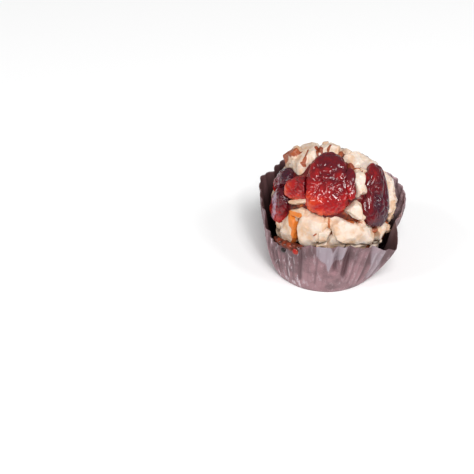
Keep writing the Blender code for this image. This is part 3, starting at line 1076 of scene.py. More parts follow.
    def lay_out(self) -> None:
        """Places all the berries and nuts, cut clear of each other and of the case."""
        draw = random.Random(self.seed)
        for berry in BERRIES:
            size = (berry.length * MM, berry.width * MM, self.berry_thickness * berry.width * MM)
            spot = (berry.bearing, berry.rise)
            self.berries.append(self.place(spot, size, berry.turn, self.berry_stand))
            self.berries[-1].taper = berry.taper
        listed = [self.front_nut(nut) for nut in FRONT_NUTS]
        ruled = self.scatter_nuts(self.berries + listed, draw)
        for k, berry in enumerate(self.berries):
            for piece in self.berries[k + 1 :]:
                self.cut_by_side(piece, berry, self.berry_press)
            for piece in listed + ruled:
                self.cut_by_side(piece, berry, self.berry_gap - piece.lap)
        for k, nut in enumerate(ruled):
            for firm in listed:
                self.cut_by_side(nut, firm, self.nut_gap)
            for other in ruled[k + 1 :]:
                self.cut_between(nut, other)
        for piece in self.berries + listed + ruled:
            self.keep_in_case(piece)
        kept = [nut for nut in ruled if min(limit for _, limit in nut.cuts) > self.least_left]
        self.nuts = listed + kept
        log.info("%d berries and %d nuts laid out", len(self.berries), len(self.nuts))


# The shapes


@dataclass(frozen=True)
class Stain:
    """A streak on the nuts: its two ends, its width (mm), its strength and how amber it is."""

    start: Spot
    end: Spot
    width: float
    strength: float
    amber: float = 0.1


STAINS = (
    Stain((-108, 37), (-106, 45), 2.8, 1.0),
    Stain((-106, 45), (-100, 51), 1.9, 1.0),
    Stain((-100, 51), (-101, 57), 1.0, 0.9),
    Stain((-70, 58), (-80, 62), 0.7, 1.0),
    Stain((-80, 62), (-103, 64), 0.5, 1.0),
    Stain((-73, 57), (-69, 57), 0.5, 0.8),
    Stain((-47, 14), (-41, 13), 0.8, 0.8, 1.0),
    Stain((-116, 71), (-104, 76), 1.3, 1.0),
    Stain((-100, 77), (-80, 77), 0.6, 0.8),
    Stain((-104, 83), (-150, 83), 0.7, 0.8),
    Stain((-42, 13), (-38, 8), 1.7, 1.0, 1.0),
    Stain((-38, 8), (-35, -3), 1.1, 1.0, 0.8),
    Stain((-35, -3), (-38, -12), 0.9, 0.8, 0.3),
    Stain((-4, 22), (-3, 14), 0.65, 0.6, 0.35),
    Stain((8, 24), (20, 18), 1.0, 0.6, 0.3),
    Stain((20, 18), (34, 15), 0.8, 0.45, 0.2),
    Stain((45, 8), (45, 3), 1.1, 0.9),
    Stain((44, -2), (44, -3), 0.7, 1.0),
    Stain((44, 64), (58, 58), 0.6, 0.7),
    Stain((-48, 16), (-33, 19), 1.3, 0.62, 1.0),
    Stain((95, 42), (97, 26), 0.8, 0.7),
    Stain((91, 37), (88, 28), 1.6, 0.32),
    Stain((84, 22), (80, 15), 1.8, 0.34),
    Stain((86, 42), (78, 28), 0.7, 0.6),
    Stain((-16, 6), (-14, 8), 0.4, 0.7),
    Stain((56, 8), (62, 2), 0.8, 0.6, 0.3),
)

BOX_FACES = 6


@dataclass
class ChoppedNuts:
    """The pale nut pieces: blocks with softened edges, lumpy faces and stained creases.

    A break is the size and the depth of its scoops. The details are how finely the front nuts, the
    large ones and fillers, and the small ones are made.
    """

    laddu: Laddu
    root_share: float = 0.74
    rounding: float = 0.17 * MM
    outward_crowding: float = 0.30
    headroom: float = 0.02
    facets: int = 6
    facet_lean: float = 0.7
    facet_cuts: Span = (0.03, 0.13)
    lump: float = 3.4 * MM
    lump_height: float = 0.26 * MM
    breaks: tuple[tuple[float, float], ...] = ((2.7 * MM, 0.80 * MM), (1.1 * MM, 0.20 * MM))
    smooth_under: float = 3.0 * MM
    dent_edge: Span = (0.15, 0.55)
    streak_edge: Span = (0.6, 1.7)
    noise_step: float = 0.017
    middle_looks: int = 15
    details: tuple[int, int, int] = (6, 5, 4)

    def planes(self, nut: Piece) -> tuple[Floats, Floats]:
        """The planes that bound a nut: the six of its box and then those of its cuts.

        Args:
            nut: The piece with its cuts.

        Returns:
            Their normals, and how far each plane lies from the nut's middle.
        """
        root = (nut.middle - self.laddu.centre).length - self.root_share * self.laddu.radius
        normals = [a[:] for a in nut.axes] + [(-a)[:] for a in nut.axes]
        limits = [*nut.half, nut.half[0], nut.half[1], min(nut.half[2], root)]
        normals += [normal[:] for normal, _ in nut.cuts]
        limits += [limit for _, limit in nut.cuts]
        return np.array(normals), np.array(limits)

    def middle(self, nut: Piece, normals: Floats, limits: Floats) -> Floats:
        """The middle of what the planes leave of a nut.

        Args:
            nut: The piece.
            normals: The planes' normals.
            limits: How far each plane lies from the piece's own middle.

        Returns:
            A point, as seen from the piece's own middle.
        """
        steps = np.linspace(-1, 1, self.middle_looks)
        grid = np.stack(np.meshgrid(steps, steps, steps), axis=-1).reshape(-1, 3)
        spots = (grid * np.array(nut.half)) @ np.array([a[:] for a in nut.axes])
        within = ((spots @ normals.T) < limits).all(axis=1)
        return spots[within].mean(axis=0)

    def stain(self, points: Floats) -> tuple[Floats, Floats]:
        """The listed streaks at points.

        Args:
            points: One row for each point.

        Returns:
            For each point, how strong its streak is and how amber, from 0 to 1.
        """
        marked, amber = np.zeros(len(points)), np.zeros(len(points))
        middle = np.array(self.laddu.centre)
        points = middle + (points - middle) / self.laddu.skin_share(points)[:, None]
        for streak in STAINS:
            start, end = (np.array(self.laddu.on_skin(*spot)[0]) for spot in (streak.start, streak.end))
            line = end - start
            along = np.clip((points - start) @ line / (line @ line), 0, 1)
            away = np.linalg.norm(points - start - along[:, None] * line, axis=1)
            share = away / (0.5 * streak.width * MM)
            here = streak.strength * (1 - eased(share, *self.streak_edge))
            amber = np.where(here > marked, streak.amber, amber)
            marked = np.maximum(marked, here)
        return marked, amber

    def outline_press(self, nut: Piece, shift: Floats, ways: Floats) -> Floats:
        """How soon ways meet the sides of a nut's traced outline.

        Args:
            nut: The piece with its outline.
            shift: The point that the ways start from, as seen from the piece's middle.
            ways: Directions of length one.

        Returns:
            One over the distance, for each way.
        """
        across, up, out = (np.array(axis) for axis in nut.axes)
        corners = np.array(nut.outline) - (shift @ across, shift @ up)
        corners = corners[np.argsort(np.arctan2(corners[:, 1], corners[:, 0]))]
        flat = np.stack([ways @ across, ways @ up], axis=1)
        sideways = np.linalg.norm(flat, axis=1) + TINY
        turns = np.arctan2(corners[:, 1], corners[:, 0])
        last = np.searchsorted(turns, np.arctan2(flat[:, 1], flat[:, 0])) % len(turns)
        start, side = corners[last - 1], corners[last] - corners[last - 1]
        crossed = start[:, 0] * side[:, 1] - start[:, 1] * side[:, 0]
        facing = (flat[:, 0] * side[:, 1] - flat[:, 1] * side[:, 0]) / sideways
        draft = math.tan(math.radians(self.laddu.front_draft))
        return (sideways + draft * (ways @ out)) * facing / crossed

    def chipped(self, ways: Floats, radii: Floats, out: Floats, number: int) -> Floats:
        """Takes small flat chips off a block's corners and edges.

        Args:
            ways: The directions of its points.
            radii: How far each point lies from its middle.
            out: The direction in which it stands proud of the laddu.
            number: Its number, which picks its chips.

        Returns:
            The radii that are left.
        """
        draw = np.random.default_rng(Seed.NUT_CHIPS + number)
        for _ in range(self.facets):
            normal = unit(draw.normal(size=3) + self.facet_lean * out)
            reach = float(((ways @ normal) * radii).max())
            limit = reach * (1 - draw.uniform(*self.facet_cuts))
            radii = np.minimum(radii, limit / np.maximum(ways @ normal, TINY))
        return radii

    def block(self, nut: Piece, number: int, detail: int) -> Shell:
        """One nut piece as a closed surface.

        Args:
            nut: The piece with its cuts.
            number: Its number, which picks its own stretch of noise.
            detail: How finely its ball is split.

        Returns:
            The surface, marked with its tint, its scoops, where the finish paints shade, its stains and
            how deep it lies in the laddu.
        """
        normals, limits = self.planes(nut)
        shift = self.middle(nut, normals, limits)
        limits = limits - normals @ shift
        ways, faces = ball(detail)
        out = np.array(nut.axes[2])
        ways = unit(ways @ np.array([a[:] for a in nut.axes]) + self.outward_crowding * out)
        presses = (ways @ normals.T) / limits
        if nut.outline:
            sides = slice(BOX_FACES, BOX_FACES + len(nut.outline))
            presses[:, sides] = self.outline_press(nut, shift, ways)[:, None]
        radii = self.chipped(ways, 1 / presses.max(axis=1), out, number)
        size = float(radii.mean())
        apart = size * math.sqrt(4 * math.pi / len(ways))
        radii = softened(radii, faces, max(1, round(2 * (self.rounding / apart) ** 2)))
        points = np.array(nut.middle) + shift + ways * radii[:, None]
        centre = np.array(self.laddu.centre)
        face = np.array(nut.middle + nut.axes[2] * nut.half[2])
        most = self.laddu.skin_share(face[None])[0] + self.headroom
        over = np.maximum(1.0, self.laddu.skin_share(points) / most)
        points = centre + (points - centre) / over[:, None]
        own = points + self.noise_step * number
        share = min(1.0, size / self.smooth_under)
        push = share * self.lump_height * noise(own, self.lump, Seed.NUT_LUMPS)
        dent = np.zeros(len(points))
        deepest = self.breaks[0][1]
        for k, (spacing, depth) in enumerate(self.breaks):
            broken = scoops(own, spacing, Seed.NUT_BREAKS + k)
            push += share * depth * (broken - broken.mean())
            dent = np.maximum(dent, depth / deepest * (1 - eased(broken, *self.dent_edge)))
        points = points + ways * push[:, None]
        stain, amber = self.stain(points)
        marks = {
            "tint": np.full(len(points), nut.toast),
            "dent": dent,
            "stain": stain,
            "amber": amber,
            "depth": self.laddu.sunk(points),
        }
        return Shell(points, faces, marks)

    def detail(self, nut: Piece) -> int:
        """How finely a nut is made: finest where it is looked at most.

        Args:
            nut: The piece.

        Returns:
            How many times its ball is split.
        """
        finest, fine, plain = self.details
        if nut.kind is NutKind.SMALL:
            return plain
        if nut.kind is NutKind.LARGE or nut.filler:
            return fine
        return finest

    def build(self, finish: "NutFinish") -> list[bpy.types.Object]:
        """Makes the nuts, in one piece for each kind, and dresses them.

        Args:
            finish: Their finish.

        Returns:
            The pieces.
        """
        material = finish.material()
        kinds: dict[NutKind, list[Shell]] = {kind: [] for kind in NutKind}
        for number, nut in enumerate(self.laddu.nuts):
            kinds[nut.kind].append(self.block(nut, number, self.detail(nut)))
        return [
            Shell.joined(shells).piece(kind.value, Slot.NUTS, material, ["nut_cluster"])
            for kind, shells in kinds.items()
            if shells
        ]


@dataclass
class Crumbs:
    """Small bits of nut that fill the creases between the larger pieces.

    They lie at shares of the way out to the skin, and one spot stays bare. A clearance is how far out
    of a berry or a nut they stay, where 1 is its surface.
    """

    laddu: Laddu
    nuts: ChoppedNuts
    tries: int = 1200
    most: int = 80
    seed: int = 7
    sizes: Span = (1.3 * MM, 3.2 * MM)
    shares: Span = (0.89, 0.945)
    lowest_rise: float = -24.0
    berry_clear: float = 1.12
    nut_clear: float = 0.93
    crowding: float = 0.35
    bare_spot: Spot = (-40.0, 24.0)
    bare_reach: float = 9.0
    faces_each: int = 6
    face_reach: Span = (0.6, 1.1)
    softness: float = 16.0
    longest: float = 0.62
    lump: float = 0.7 * MM
    lump_height: float = 0.08
    noise_step: float = 0.013
    # The share of the scoops' painted shade that every crumb takes.
    dent: float = 0.3
    brown_share: float = 0.10
    brown_strength: float = 0.6
    detail: int = 3

    def spots(self, draw: random.Random) -> list[tuple[Floats, float]]:
        """Where the crumbs lie, clear of the middles of nuts and berries.

        Args:
            draw: The random numbers that place them.

        Returns:
            The middle and the size of each.
        """
        found: list[tuple[Floats, float]] = []
        blocks = [self.nuts.planes(nut) for nut in self.laddu.nuts]
        lowest = math.sin(math.radians(self.lowest_rise))
        for _ in range(self.tries):
            bearing = draw.uniform(-180, 180)
            rise = math.degrees(math.asin(draw.uniform(lowest, 1)))
            share = draw.uniform(*self.shares)
            size = draw.uniform(*self.sizes)
            skin, _ = self.laddu.on_skin(bearing, rise)
            spot = np.array(self.laddu.centre + (skin - self.laddu.centre) * share)
            if math.dist((bearing, rise), self.bare_spot) < self.bare_reach:
                continue
            if any(berry.gauge(spot[None])[0] < self.berry_clear for berry in self.laddu.berries):
                continue
            held = (
                ((normals @ (spot - np.array(nut.middle))) / limits).max()
                for nut, (normals, limits) in zip(self.laddu.nuts, blocks)
            )
            if min(held) < self.nut_clear:
                continue
            apart = (np.linalg.norm(spot - other) / (size + room) for other, room in found)
            if any(near < self.crowding for near in apart):
                continue
            found.append((spot, size))
            if len(found) == self.most:
                break
        return found

    def bit(self, spot: Floats, size: float, number: int, draw: random.Random) -> Shell:
        """One crumb: a small block with random faces.

        Args:
            spot: Its middle.
            size: Its size in metres.
            number: Its number, which picks its own stretch of noise.
            draw: The random numbers that shape it.

        Returns:
            Its surface, marked as the nuts are.
        """
        normals = unit(np.array([[draw.gauss(0, 1) for _ in range(3)] for _ in range(self.faces_each)]))
        normals = np.concatenate([normals, -normals])
        limits = 0.5 * size * np.array([draw.uniform(*self.face_reach) for _ in normals])
        ways, faces = ball(self.detail)
        presses = np.maximum(0.0, (ways @ normals.T) / limits)
        radii = (presses ** self.softness).sum(axis=1) ** (-1 / self.softness)
        radii = np.minimum(radii, self.longest * size)
        points = spot + ways * radii[:, None]
        lumps = noise(points + self.noise_step * number, self.lump, Seed.CRUMB_LUMPS)
        points += ways * (self.lump_height * size * lumps)[:, None]
        stain, amber = self.nuts.stain(points)
        marks = {
            "tint": np.full(len(points), draw.random()),
            "dent": np.full(len(points), self.dent),
            "stain": np.maximum(stain, self.brown_strength * (draw.random() < self.brown_share)),
            "amber": amber,
            "depth": self.laddu.sunk(points),
        }
        return Shell(points, faces, marks)

    def build(self, finish: "NutFinish") -> bpy.types.Object:
        """Makes the crumbs as one piece and dresses them.

        Args:
            finish: Their finish, the nuts' own.

        Returns:
            The piece.
        """
        draw = random.Random(self.seed)
        bits = [self.bit(spot, size, k, draw) for k, (spot, size) in enumerate(self.spots(draw))]
        return Shell.joined(bits).piece("nut_crumbs", Slot.NUTS, finish.material(), ["nut_cluster"])


@dataclass
class SyrupCore:
    """The sticky middle that shows in the creases between the pieces.

    Its lumps are each a size and a height, and it reddens from one reach of a berry to the other: the
    berries' own red, and painted shade in the gaps beside them.
    """

    laddu: Laddu
    share: float = 0.905
    foot_share: float = 0.975
    foot_rises: Span = (-12.0, -42.0)
    lumps: tuple[tuple[float, float], ...] = ((2.6 * MM, 0.40 * MM), (1.1 * MM, 0.16 * MM))
    red_reach: Span = (1.05, 1.5)
    detail: int = 6

    def shell(self) -> Shell:
        """The core as one closed lumpy ball with a flat foot.

        Returns:
            The surface, marked where berries redden it.
        """
        ways, faces = ball(self.detail)
        laddu = self.laddu
        low = eased(-np.degrees(np.arcsin(ways[:, 2])), -self.foot_rises[0], -self.foot_rises[1])
        share = self.share + (self.foot_share - self.share) * low
        near = np.maximum(0.0, ways @ np.array(direction(*laddu.shoulder)))
        share *= 1 - laddu.shoulder_drop * near ** laddu.shoulder_width
        level = (ways[:, 0] ** 2 + ways[:, 1] ** 2) / laddu.radius ** 2
        radii = share / np.sqrt(level + ways[:, 2] ** 2 / laddu.half_height ** 2)
        rough = np.array(laddu.centre) + ways * radii[:, None]
        lumps = sum(depth * noise(rough, lump, Seed.SYRUP_LUMPS) for lump, depth in self.lumps)
        radii += (1 - low) * lumps
        under = np.where(ways[:, 2] < 0, -ways[:, 2], TINY)
        radii = np.minimum(radii, self.foot_share * laddu.half_height / under)
        points = np.array(laddu.centre) + ways * radii[:, None]
        near = np.min([berry.gauge(points) for berry in laddu.berries], axis=0)
        return Shell(points, faces, {"red": 1 - eased(near, *self.red_reach)})

    def build(self, finish: "SyrupFinish") -> bpy.types.Object:
        """Makes the core as one piece and dresses it."""
        return self.shell().piece("syrup_core", Slot.NUTS, finish.material(), ["nut_cluster"])


@dataclass(frozen=True)
class Blob:
    """A blob of syrup at the rim: bearing (degrees), how far in and up from the rim, sizes (mm)."""

    bearing: float
    inward: float
    up: float
    length: float
    width: float
    height: float
    redness: float


BLOBS = (
    Blob(-53, 1.2, 0.1, 3.4, 1.8, 1.7, 0.26),
    Blob(-48, 1.0, 0.4, 4.0, 2.0, 1.9, 0.40),
    Blob(-42, 0.9, 0.5, 4.2, 2.2, 2.1, 0.28),
    Blob(-36, 0.9, 0.5, 4.0, 2.2, 2.1, 0.42),
    Blob(-31, 1.0, 0.2, 3.4, 2.0, 1.9, 0.28),
    Blob(-27, 1.1, -0.3, 2.6, 1.6, 1.2, 0.25),
    Blob(-42, -0.1, -1.0, 1.5, 0.9, 1.5, -0.2),
    Blob(-30, -0.1, -0.9, 1.8, 1.1, 1.9, 0.75),
)


@dataclass
class RimSyrup:
    """Dark syrup that has run down the laddu's left front and set on the case's rim."""

    case: PaperCase
    lump: float = 1.2 * MM
    lump_height: float = 0.28 * MM
    smooth_under: float = 2.0
    noise_step: float = 0.011
    detail: int = 4

    def blob(self, blob: Blob, number: int) -> Shell:
        """One blob as a closed surface.

        Args:
            blob: The listed blob.
            number: Its number, which picks its own stretch of noise.

        Returns:
            Its surface, marked with its redness.
        """
        bearing = math.radians(blob.bearing)
        out, along = outward(bearing), along_skin(bearing)
        middle = self.case.rim_at(bearing) - out * blob.inward * MM
        middle.z += blob.up * MM
        ways, faces = ball(self.detail)
        size = 0.5 * MM * np.array((blob.length, blob.width, blob.height))
        points = np.array(middle) + (ways * size) @ np.array([along[:], out[:], (0.0, 0.0, 1.0)])
        lumps = self.lump_height * noise(points + self.noise_step * number, self.lump, Seed.DRIP_LUMPS)
        push = lumps * min(1.0, blob.width / self.smooth_under)
        away = points - np.array(middle)
        points += away * (push / np.linalg.norm(away, axis=1))[:, None]
        return Shell(points, faces, {"red": np.full(len(points), blob.redness)})

    def build(self, finish: "DripFinish") -> bpy.types.Object:
        """Makes the syrup as one piece and dresses it."""
        blobs = [self.blob(blob, k) for k, blob in enumerate(BLOBS)]
        return Shell.joined(blobs).piece("rim_syrup", Slot.NUTS, finish.material(), ["nut_cluster"])


@dataclass
class DriedBerries:
    """The whole dried cranberries: wrinkled, glossy and pressed against their neighbours.

    A wrinkle is its size, its depth and the share of its noise that it takes up. The first berries
    of the list, a finest count of them, are made most finely.
    """

    laddu: Laddu
    bluntness: float = 2.45
    folds: int = 5
    fold_depth: float = 0.14
    wander_along: float = 0.5
    waves_along: int = 3
    wander_around: float = 0.3
    waves_around: int = 2
    wander_step: float = 2.3
    pressed_edge: int = 24
    outward_crowding: float = 0.40
    stretch: float = 1.3
    bend: float = 0.5 * MM
    bend_lump: float = 2.2 * MM
    noise_step: float = 0.021
    deepest: float = 0.42 * MM
    wrinkles: tuple[tuple[float, float, float], ...] = (
        (3.6 * MM, 0.34 * MM, 0.50),
        (2.0 * MM, 0.28 * MM, 0.50),
        (0.85 * MM, 0.02 * MM, 0.60),
    )
    glow_lump: float = 2.5 * MM
    glow_mottle: float = 0.10
    film_lump: float = 2.0 * MM
    film_mottle: float = 0.12
    film_starts: Span = (0.14, 0.34)
    film_ends: Span = (0.58, 0.38)
    finest_count: int = 2
    detail_finest: int = 7
    detail: int = 6

    def radii(self, piece: Piece, ways: Floats, number: int) -> Floats:
        """How far a berry's skin lies from its middle: its body, its folds and its cuts.

        Args:
            piece: Where the berry lies and how it is cut.
            ways: Directions of length one.
            number: Its number in the list, which sets its folds.

        Returns:
            A distance for each direction.
        """
        local = ways @ np.array([a[:] for a in piece.axes]).T
        around = np.arctan2(local[:, 2], local[:, 1])
        wander = self.wander_along * np.sin(self.waves_along * local[:, 0] + number)
        wander += self.wander_around * np.sin(self.waves_around * around + self.wander_step * number)
        crest = np.abs(np.sin(0.5 * self.folds * around + wander + number))
        fold = self.fold_depth * (1 - crest) ** 2 * (1 - local[:, 0] ** 2)
        shares = np.abs(local) / np.array(piece.half)
        shares[:, 1] /= 1 - piece.taper * local[:, 0]
        radii = (1 - fold) / (shares ** self.bluntness).sum(axis=1) ** (1 / self.bluntness)
        normals = np.array([normal[:] for normal, _ in piece.cuts]).reshape(-1, 3)
        limits = np.array([limit for _, limit in piece.cuts])
        presses = np.maximum(0.0, (ways @ normals.T) * radii[:, None] / limits)
        edge = self.pressed_edge
        return radii / (1 + (presses ** edge).sum(axis=1)) ** (1 / edge)

    def shell(self, piece: Piece, berry: Berry, number: int, detail: int) -> Shell:
        """One berry as a closed surface.

        Args:
            piece: Where the berry lies and how it is cut.
            berry: How it looks.
            number: Its number in the list, which sets its folds and wrinkles.
            detail: How finely its ball is split.

        Returns:
            The surface, marked with its ripeness and painted glow, its film of dried syrup and its
            grooves.
        """
        axes = np.array([a[:] for a in piece.axes])
        ways, faces = ball(detail)
        ways = unit(ways @ axes + self.outward_crowding * axes[2])
        points = np.array(piece.middle) + ways * self.radii(piece, ways, number)[:, None]
        local = (points - np.array(piece.middle)) @ axes.T
        own = local / (self.stretch, 1.0, 1.0) + self.noise_step * number
        bends = [noise(own, self.bend_lump, Seed.BERRY_BENDS + k) for k in range(3)]
        bent = own + self.bend * np.stack(bends, axis=1)
        # The groove mark is how deep a point lies in a wrinkle; the finish paints shade there.
        groove = np.zeros(len(points))
        push = np.zeros(len(points))
        for lump, depth, width in self.wrinkles:
            rise = np.abs(noise(bent, lump, Seed.BERRY_WRINKLES)) / width
            valley = np.clip(1 - rise, 0, 1) ** 2
            push -= depth * (valley - valley.mean())
            groove = np.maximum(groove, valley * depth / self.deepest)
        points = points + ways * push[:, None]
        off = (points - np.array(piece.middle)) / (0.5 * berry.length * MM)
        # Painted glow: the berry's own ripeness, lit towards its bottom and one end as light shining
        # through the skin, with a little mottle.
        glow = berry.ripeness - berry.painted_underglow * off[:, 2] - berry.painted_side_glow * off[:, 0]
        glow += self.glow_mottle * noise(own, self.glow_lump, Seed.BERRY_GLOW)
        outer = self.film_mottle * noise(own, self.film_lump, Seed.BERRY_FILM) - off[:, 0]
        film = berry.film * eased(outer, *self.film_starts) * eased(outer, *self.film_ends)
        marks = {
            "glow": np.clip(glow, 0, 1),
            "film": film,
            "groove": groove,
        }
        return Shell(points, faces, marks)

    def build(self, finish: "BerryFinish") -> list[bpy.types.Object]:
        """Makes each berry as its own piece and dresses it.

        Args:
            finish: Their finish.

        Returns:
            The pieces.
        """
        material = finish.material()
        made = []
        for number, (piece, berry) in enumerate(zip(self.laddu.berries, BERRIES)):
            detail = self.detail_finest if number < self.finest_count else self.detail
            shell = self.shell(piece, berry, number, detail)
            name = berry.name.replace("cranberry", "berry")
            made.append(shell.piece(name, Slot.BERRY, material, [berry.name]))
        return made


# Finishes


Value = Union["Wire", Shade, float, tuple[float, ...]]


class Wire:
    """A node's output. Python arithmetic on it adds Math nodes."""

    def __init__(self, board: "Board", socket: Optional[bpy.types.NodeSocket]) -> None:
        """Holds the board and the socket on it, if the node has one."""
        self.board = board
        self.socket = socket

    def _math(self, operation: str, first: Value, second: Value) -> "Wire":
        """A Math node on two values."""
        return self.board.node("ShaderNodeMath", {"operation": operation}, {0: first, 1: second})

    def __add__(self, other: Value) -> "Wire":
        """This plus another."""
        return self._math("ADD", self, other)

    def __radd__(self, other: Value) -> "Wire":
        """Another plus this."""
        return self._math("ADD", other, self)

    def __sub__(self, other: Value) -> "Wire":
        """This minus another."""
        return self._math("SUBTRACT", self, other)

    def __rsub__(self, other: Value) -> "Wire":
        """Another minus this."""
        return self._math("SUBTRACT", other, self)

    def __mul__(self, other: Value) -> "Wire":
        """This times another."""
        return self._math("MULTIPLY", self, other)

    def __rmul__(self, other: Value) -> "Wire":
        """Another times this."""
        return self._math("MULTIPLY", other, self)

    def eased(self, low: float, high: float) -> "Wire":
        """This brought from low..high to 0..1 with soft ends."""
        limits = {"From Min": low, "From Max": high}
        return self.board.node(
            "ShaderNodeMapRange", {"interpolation_type": "SMOOTHSTEP"}, {"Value": self, **limits}
        )

    def clipped(self) -> "Wire":
        """This kept from 0 to 1."""
        return self.board.node("ShaderNodeClamp", {}, {0: self})


class Board:
    """A material's nodes, made by name."""

    def __init__(self, name: str) -> None:
        """Starts a material with no nodes.

        Args:
            name: The material's name.
        """
        self.material = bpy.data.materials.new(name)
        self.material.use_nodes = True
        self.tree = self.material.node_tree
        self.tree.nodes.clear()

    def node(
        self, kind: str, settings: Settings, inputs: Mapping[Union[str, int], Value],
        output: Union[str, int] = 0,
    ) -> Wire:
        """Adds a node.

        Args:
            kind: The node's type.
            settings: Its settings; "stops" gives a ramp's places and colours.
            inputs: The values or links of its sockets, by name or number.
            output: The output that is wanted.

        Returns:
            That output.
        """
        made = self.tree.nodes.new(kind)
        for name, setting in settings.items():
            if name == "stops":
                for k, (place, shade) in enumerate(setting):
                    stop = made.color_ramp.elements[k] if k < 2 else made.color_ramp.elements.new(place)
                    stop.position = place
                    stop.color = (*shade.value, 1.0)
            else:
                setattr(made, name, setting)
        for name, value in inputs.items():
            socket = made.inputs[name]
            if isinstance(value, Wire):
                self.tree.links.new(value.socket, socket)
            elif isinstance(value, Shade):
                socket.default_value = (*value.value, 1.0)
            else:
                socket.default_value = value
        return Wire(self, made.outputs[output] if len(made.outputs) else None)

    def mark(self, name: str) -> Wire:
        """A number marked on the piece's points."""
        return self.node("ShaderNodeAttribute", {"attribute_name": name}, {}, "Fac")

    def place(self, stretch: Stretch = (1.0, 1.0, 1.0)) -> Wire:
        """The point's place in metres, stretched along the axes."""
        spot = self.node("ShaderNodeTexCoord", {}, {}, "Object")
        return self.node("ShaderNodeVectorMath", {"operation": "MULTIPLY"}, {0: spot, 1: stretch})

    def grain(
        self, size: float, detail: float = 3.0, roughness: float = 0.5,
        stretch: Stretch = (1.0, 1.0, 1.0), bend: float = 0.0,
    ) -> Wire:
        """Noise from 0 to 1, whose lumps have a size in metres."""
        values = {"Scale": 1 / size, "Detail": detail, "Roughness": roughness, "Distortion": bend}
        return self.node("ShaderNodeTexNoise", {}, {"Vector": self.place(stretch), **values})

    def mix(self, share: Value, first: Value, second: Value) -> Wire:
        """A colour between two others."""
        settings = {"data_type": "RGBA"}
        return self.node("ShaderNodeMix", settings, {0: share, 6: first, 7: second}, 2)

    def ramp(self, share: Value, stops: Sequence[tuple[float, Shade]]) -> Wire:
        """A colour from a ramp."""
        return self.node("ShaderNodeValToRGB", {"stops": stops}, {0: share})

    def bump(self, height: Wire, depth: float) -> Wire:
        """A normal from heights of 0 to 1, where 1 is a depth in metres."""
        return self.node("ShaderNodeBump", {}, {"Strength": 1.0, "Distance": depth, "Height": height})

    def finish(self, **sockets: Value) -> bpy.types.Material:
        """Ends the material in one surface shader.

        Args:
            sockets: The shader's sockets, named like Base_Color, and their values or links.

        Returns:
            The finished material.
        """
        inputs = {name.replace("_", " "): value for name, value in sockets.items()}
        surface = self.node("ShaderNodeBsdfPrincipled", {}, inputs)
        self.node("ShaderNodeOutputMaterial", {}, {"Surface": surface})
        return self.material


# In the finishes a span holds the edges of a shade, a mottle is how far noise frays them, a strength
# is the most that a colour covers of the one under it, and a relief is a share of the bump.


@dataclass(frozen=True)
class NutFinish:
    """Cream chopped nut, smooth and a little waxy, with brown skin and syrup in its creases and painted
    shade in its scoops.
    """

    speckle: float = 0.9 * MM
    patches: float = 4.5 * MM
    pores: float = 0.35 * MM
    bump: float = 0.10 * MM
    cream: Span = (0.42, 1.0)
    cream_tint: float = 0.4
    cream_dent: float = 0.35
    toasted: Span = (0.86, 1.26)
    toast_patch: float = 0.6
    toast_tint: float = 0.25
    toast_dent: float = 0.2
    toast_strength: float = 0.55
    stained: Span = (0.25, 0.55)
    stain_mottle: float = 0.7
    amber_mottle: float = 0.6
    creased: Span = (0.35, 1.0)
    crease_mottle: float = 0.9
    crease_strength: float = 0.85
    seeped: Span = (0.30, 0.50)
    speckle_relief: float = 0.5
    patch_relief: float = 0.3
    pore_relief: float = 0.2
    roughness: float = 0.46
    roughness_mottle: float = 0.18
    coat: float = 0.20
    crease_coat: float = 0.30

    def material(self) -> bpy.types.Material:
        """Makes the finish.

        Returns:
            The material.
        """
        board = Board("chopped_nut")
        patch = board.grain(self.patches, detail=3.0)
        speckle = board.grain(self.speckle, detail=5.0, roughness=0.6)
        pores = board.grain(self.pores, detail=2.0)
        tint = board.mark("tint")
        dent = board.mark("dent")
        # Painted shade: deep in the scoops the nut turns darker, yellower and more toasted; patch,
        # speckle and tint vary it at random.
        cream = (patch + self.cream_tint * tint + self.cream_dent * dent).eased(*self.cream)
        pale = board.mix(cream, Shade.IVORY, Shade.CREAM)
        warm = speckle + self.toast_patch * patch + self.toast_tint * tint + self.toast_dent * dent
        body = board.mix(self.toast_strength * warm.eased(*self.toasted), pale, Shade.TOASTED)
        stain = (board.mark("stain") + self.stain_mottle * (speckle - 0.5)).eased(*self.stained)
        amber = (board.mark("amber") + self.amber_mottle * (patch - 0.5)).clipped()
        brown = board.mix(amber, Shade.NUT_SKIN, Shade.AMBER)
        stained = board.mix(stain, body, brown)
        crease = board.mark("depth") + self.crease_mottle * speckle - 0.5 * self.crease_mottle
        crease = crease.eased(*self.creased)
        seep = board.mix(speckle.eased(*self.seeped), Shade.BROWN_SYRUP, Shade.DARK_SYRUP)
        colour = board.mix(self.crease_strength * crease, stained, seep)
        height = self.speckle_relief * speckle + self.patch_relief * patch + self.pore_relief * pores
        return board.finish(
            Base_Color=colour,
            Roughness=self.roughness + self.roughness_mottle * speckle,
            Coat_Weight=self.coat + self.crease_coat * crease,
            Coat_Roughness=0.22,
            Subsurface_Weight=0.20,
            Subsurface_Radius=(1.0, 0.55, 0.30),
            Subsurface_Scale=0.9 * MM,
            Normal=board.bump(height, self.bump),
        )


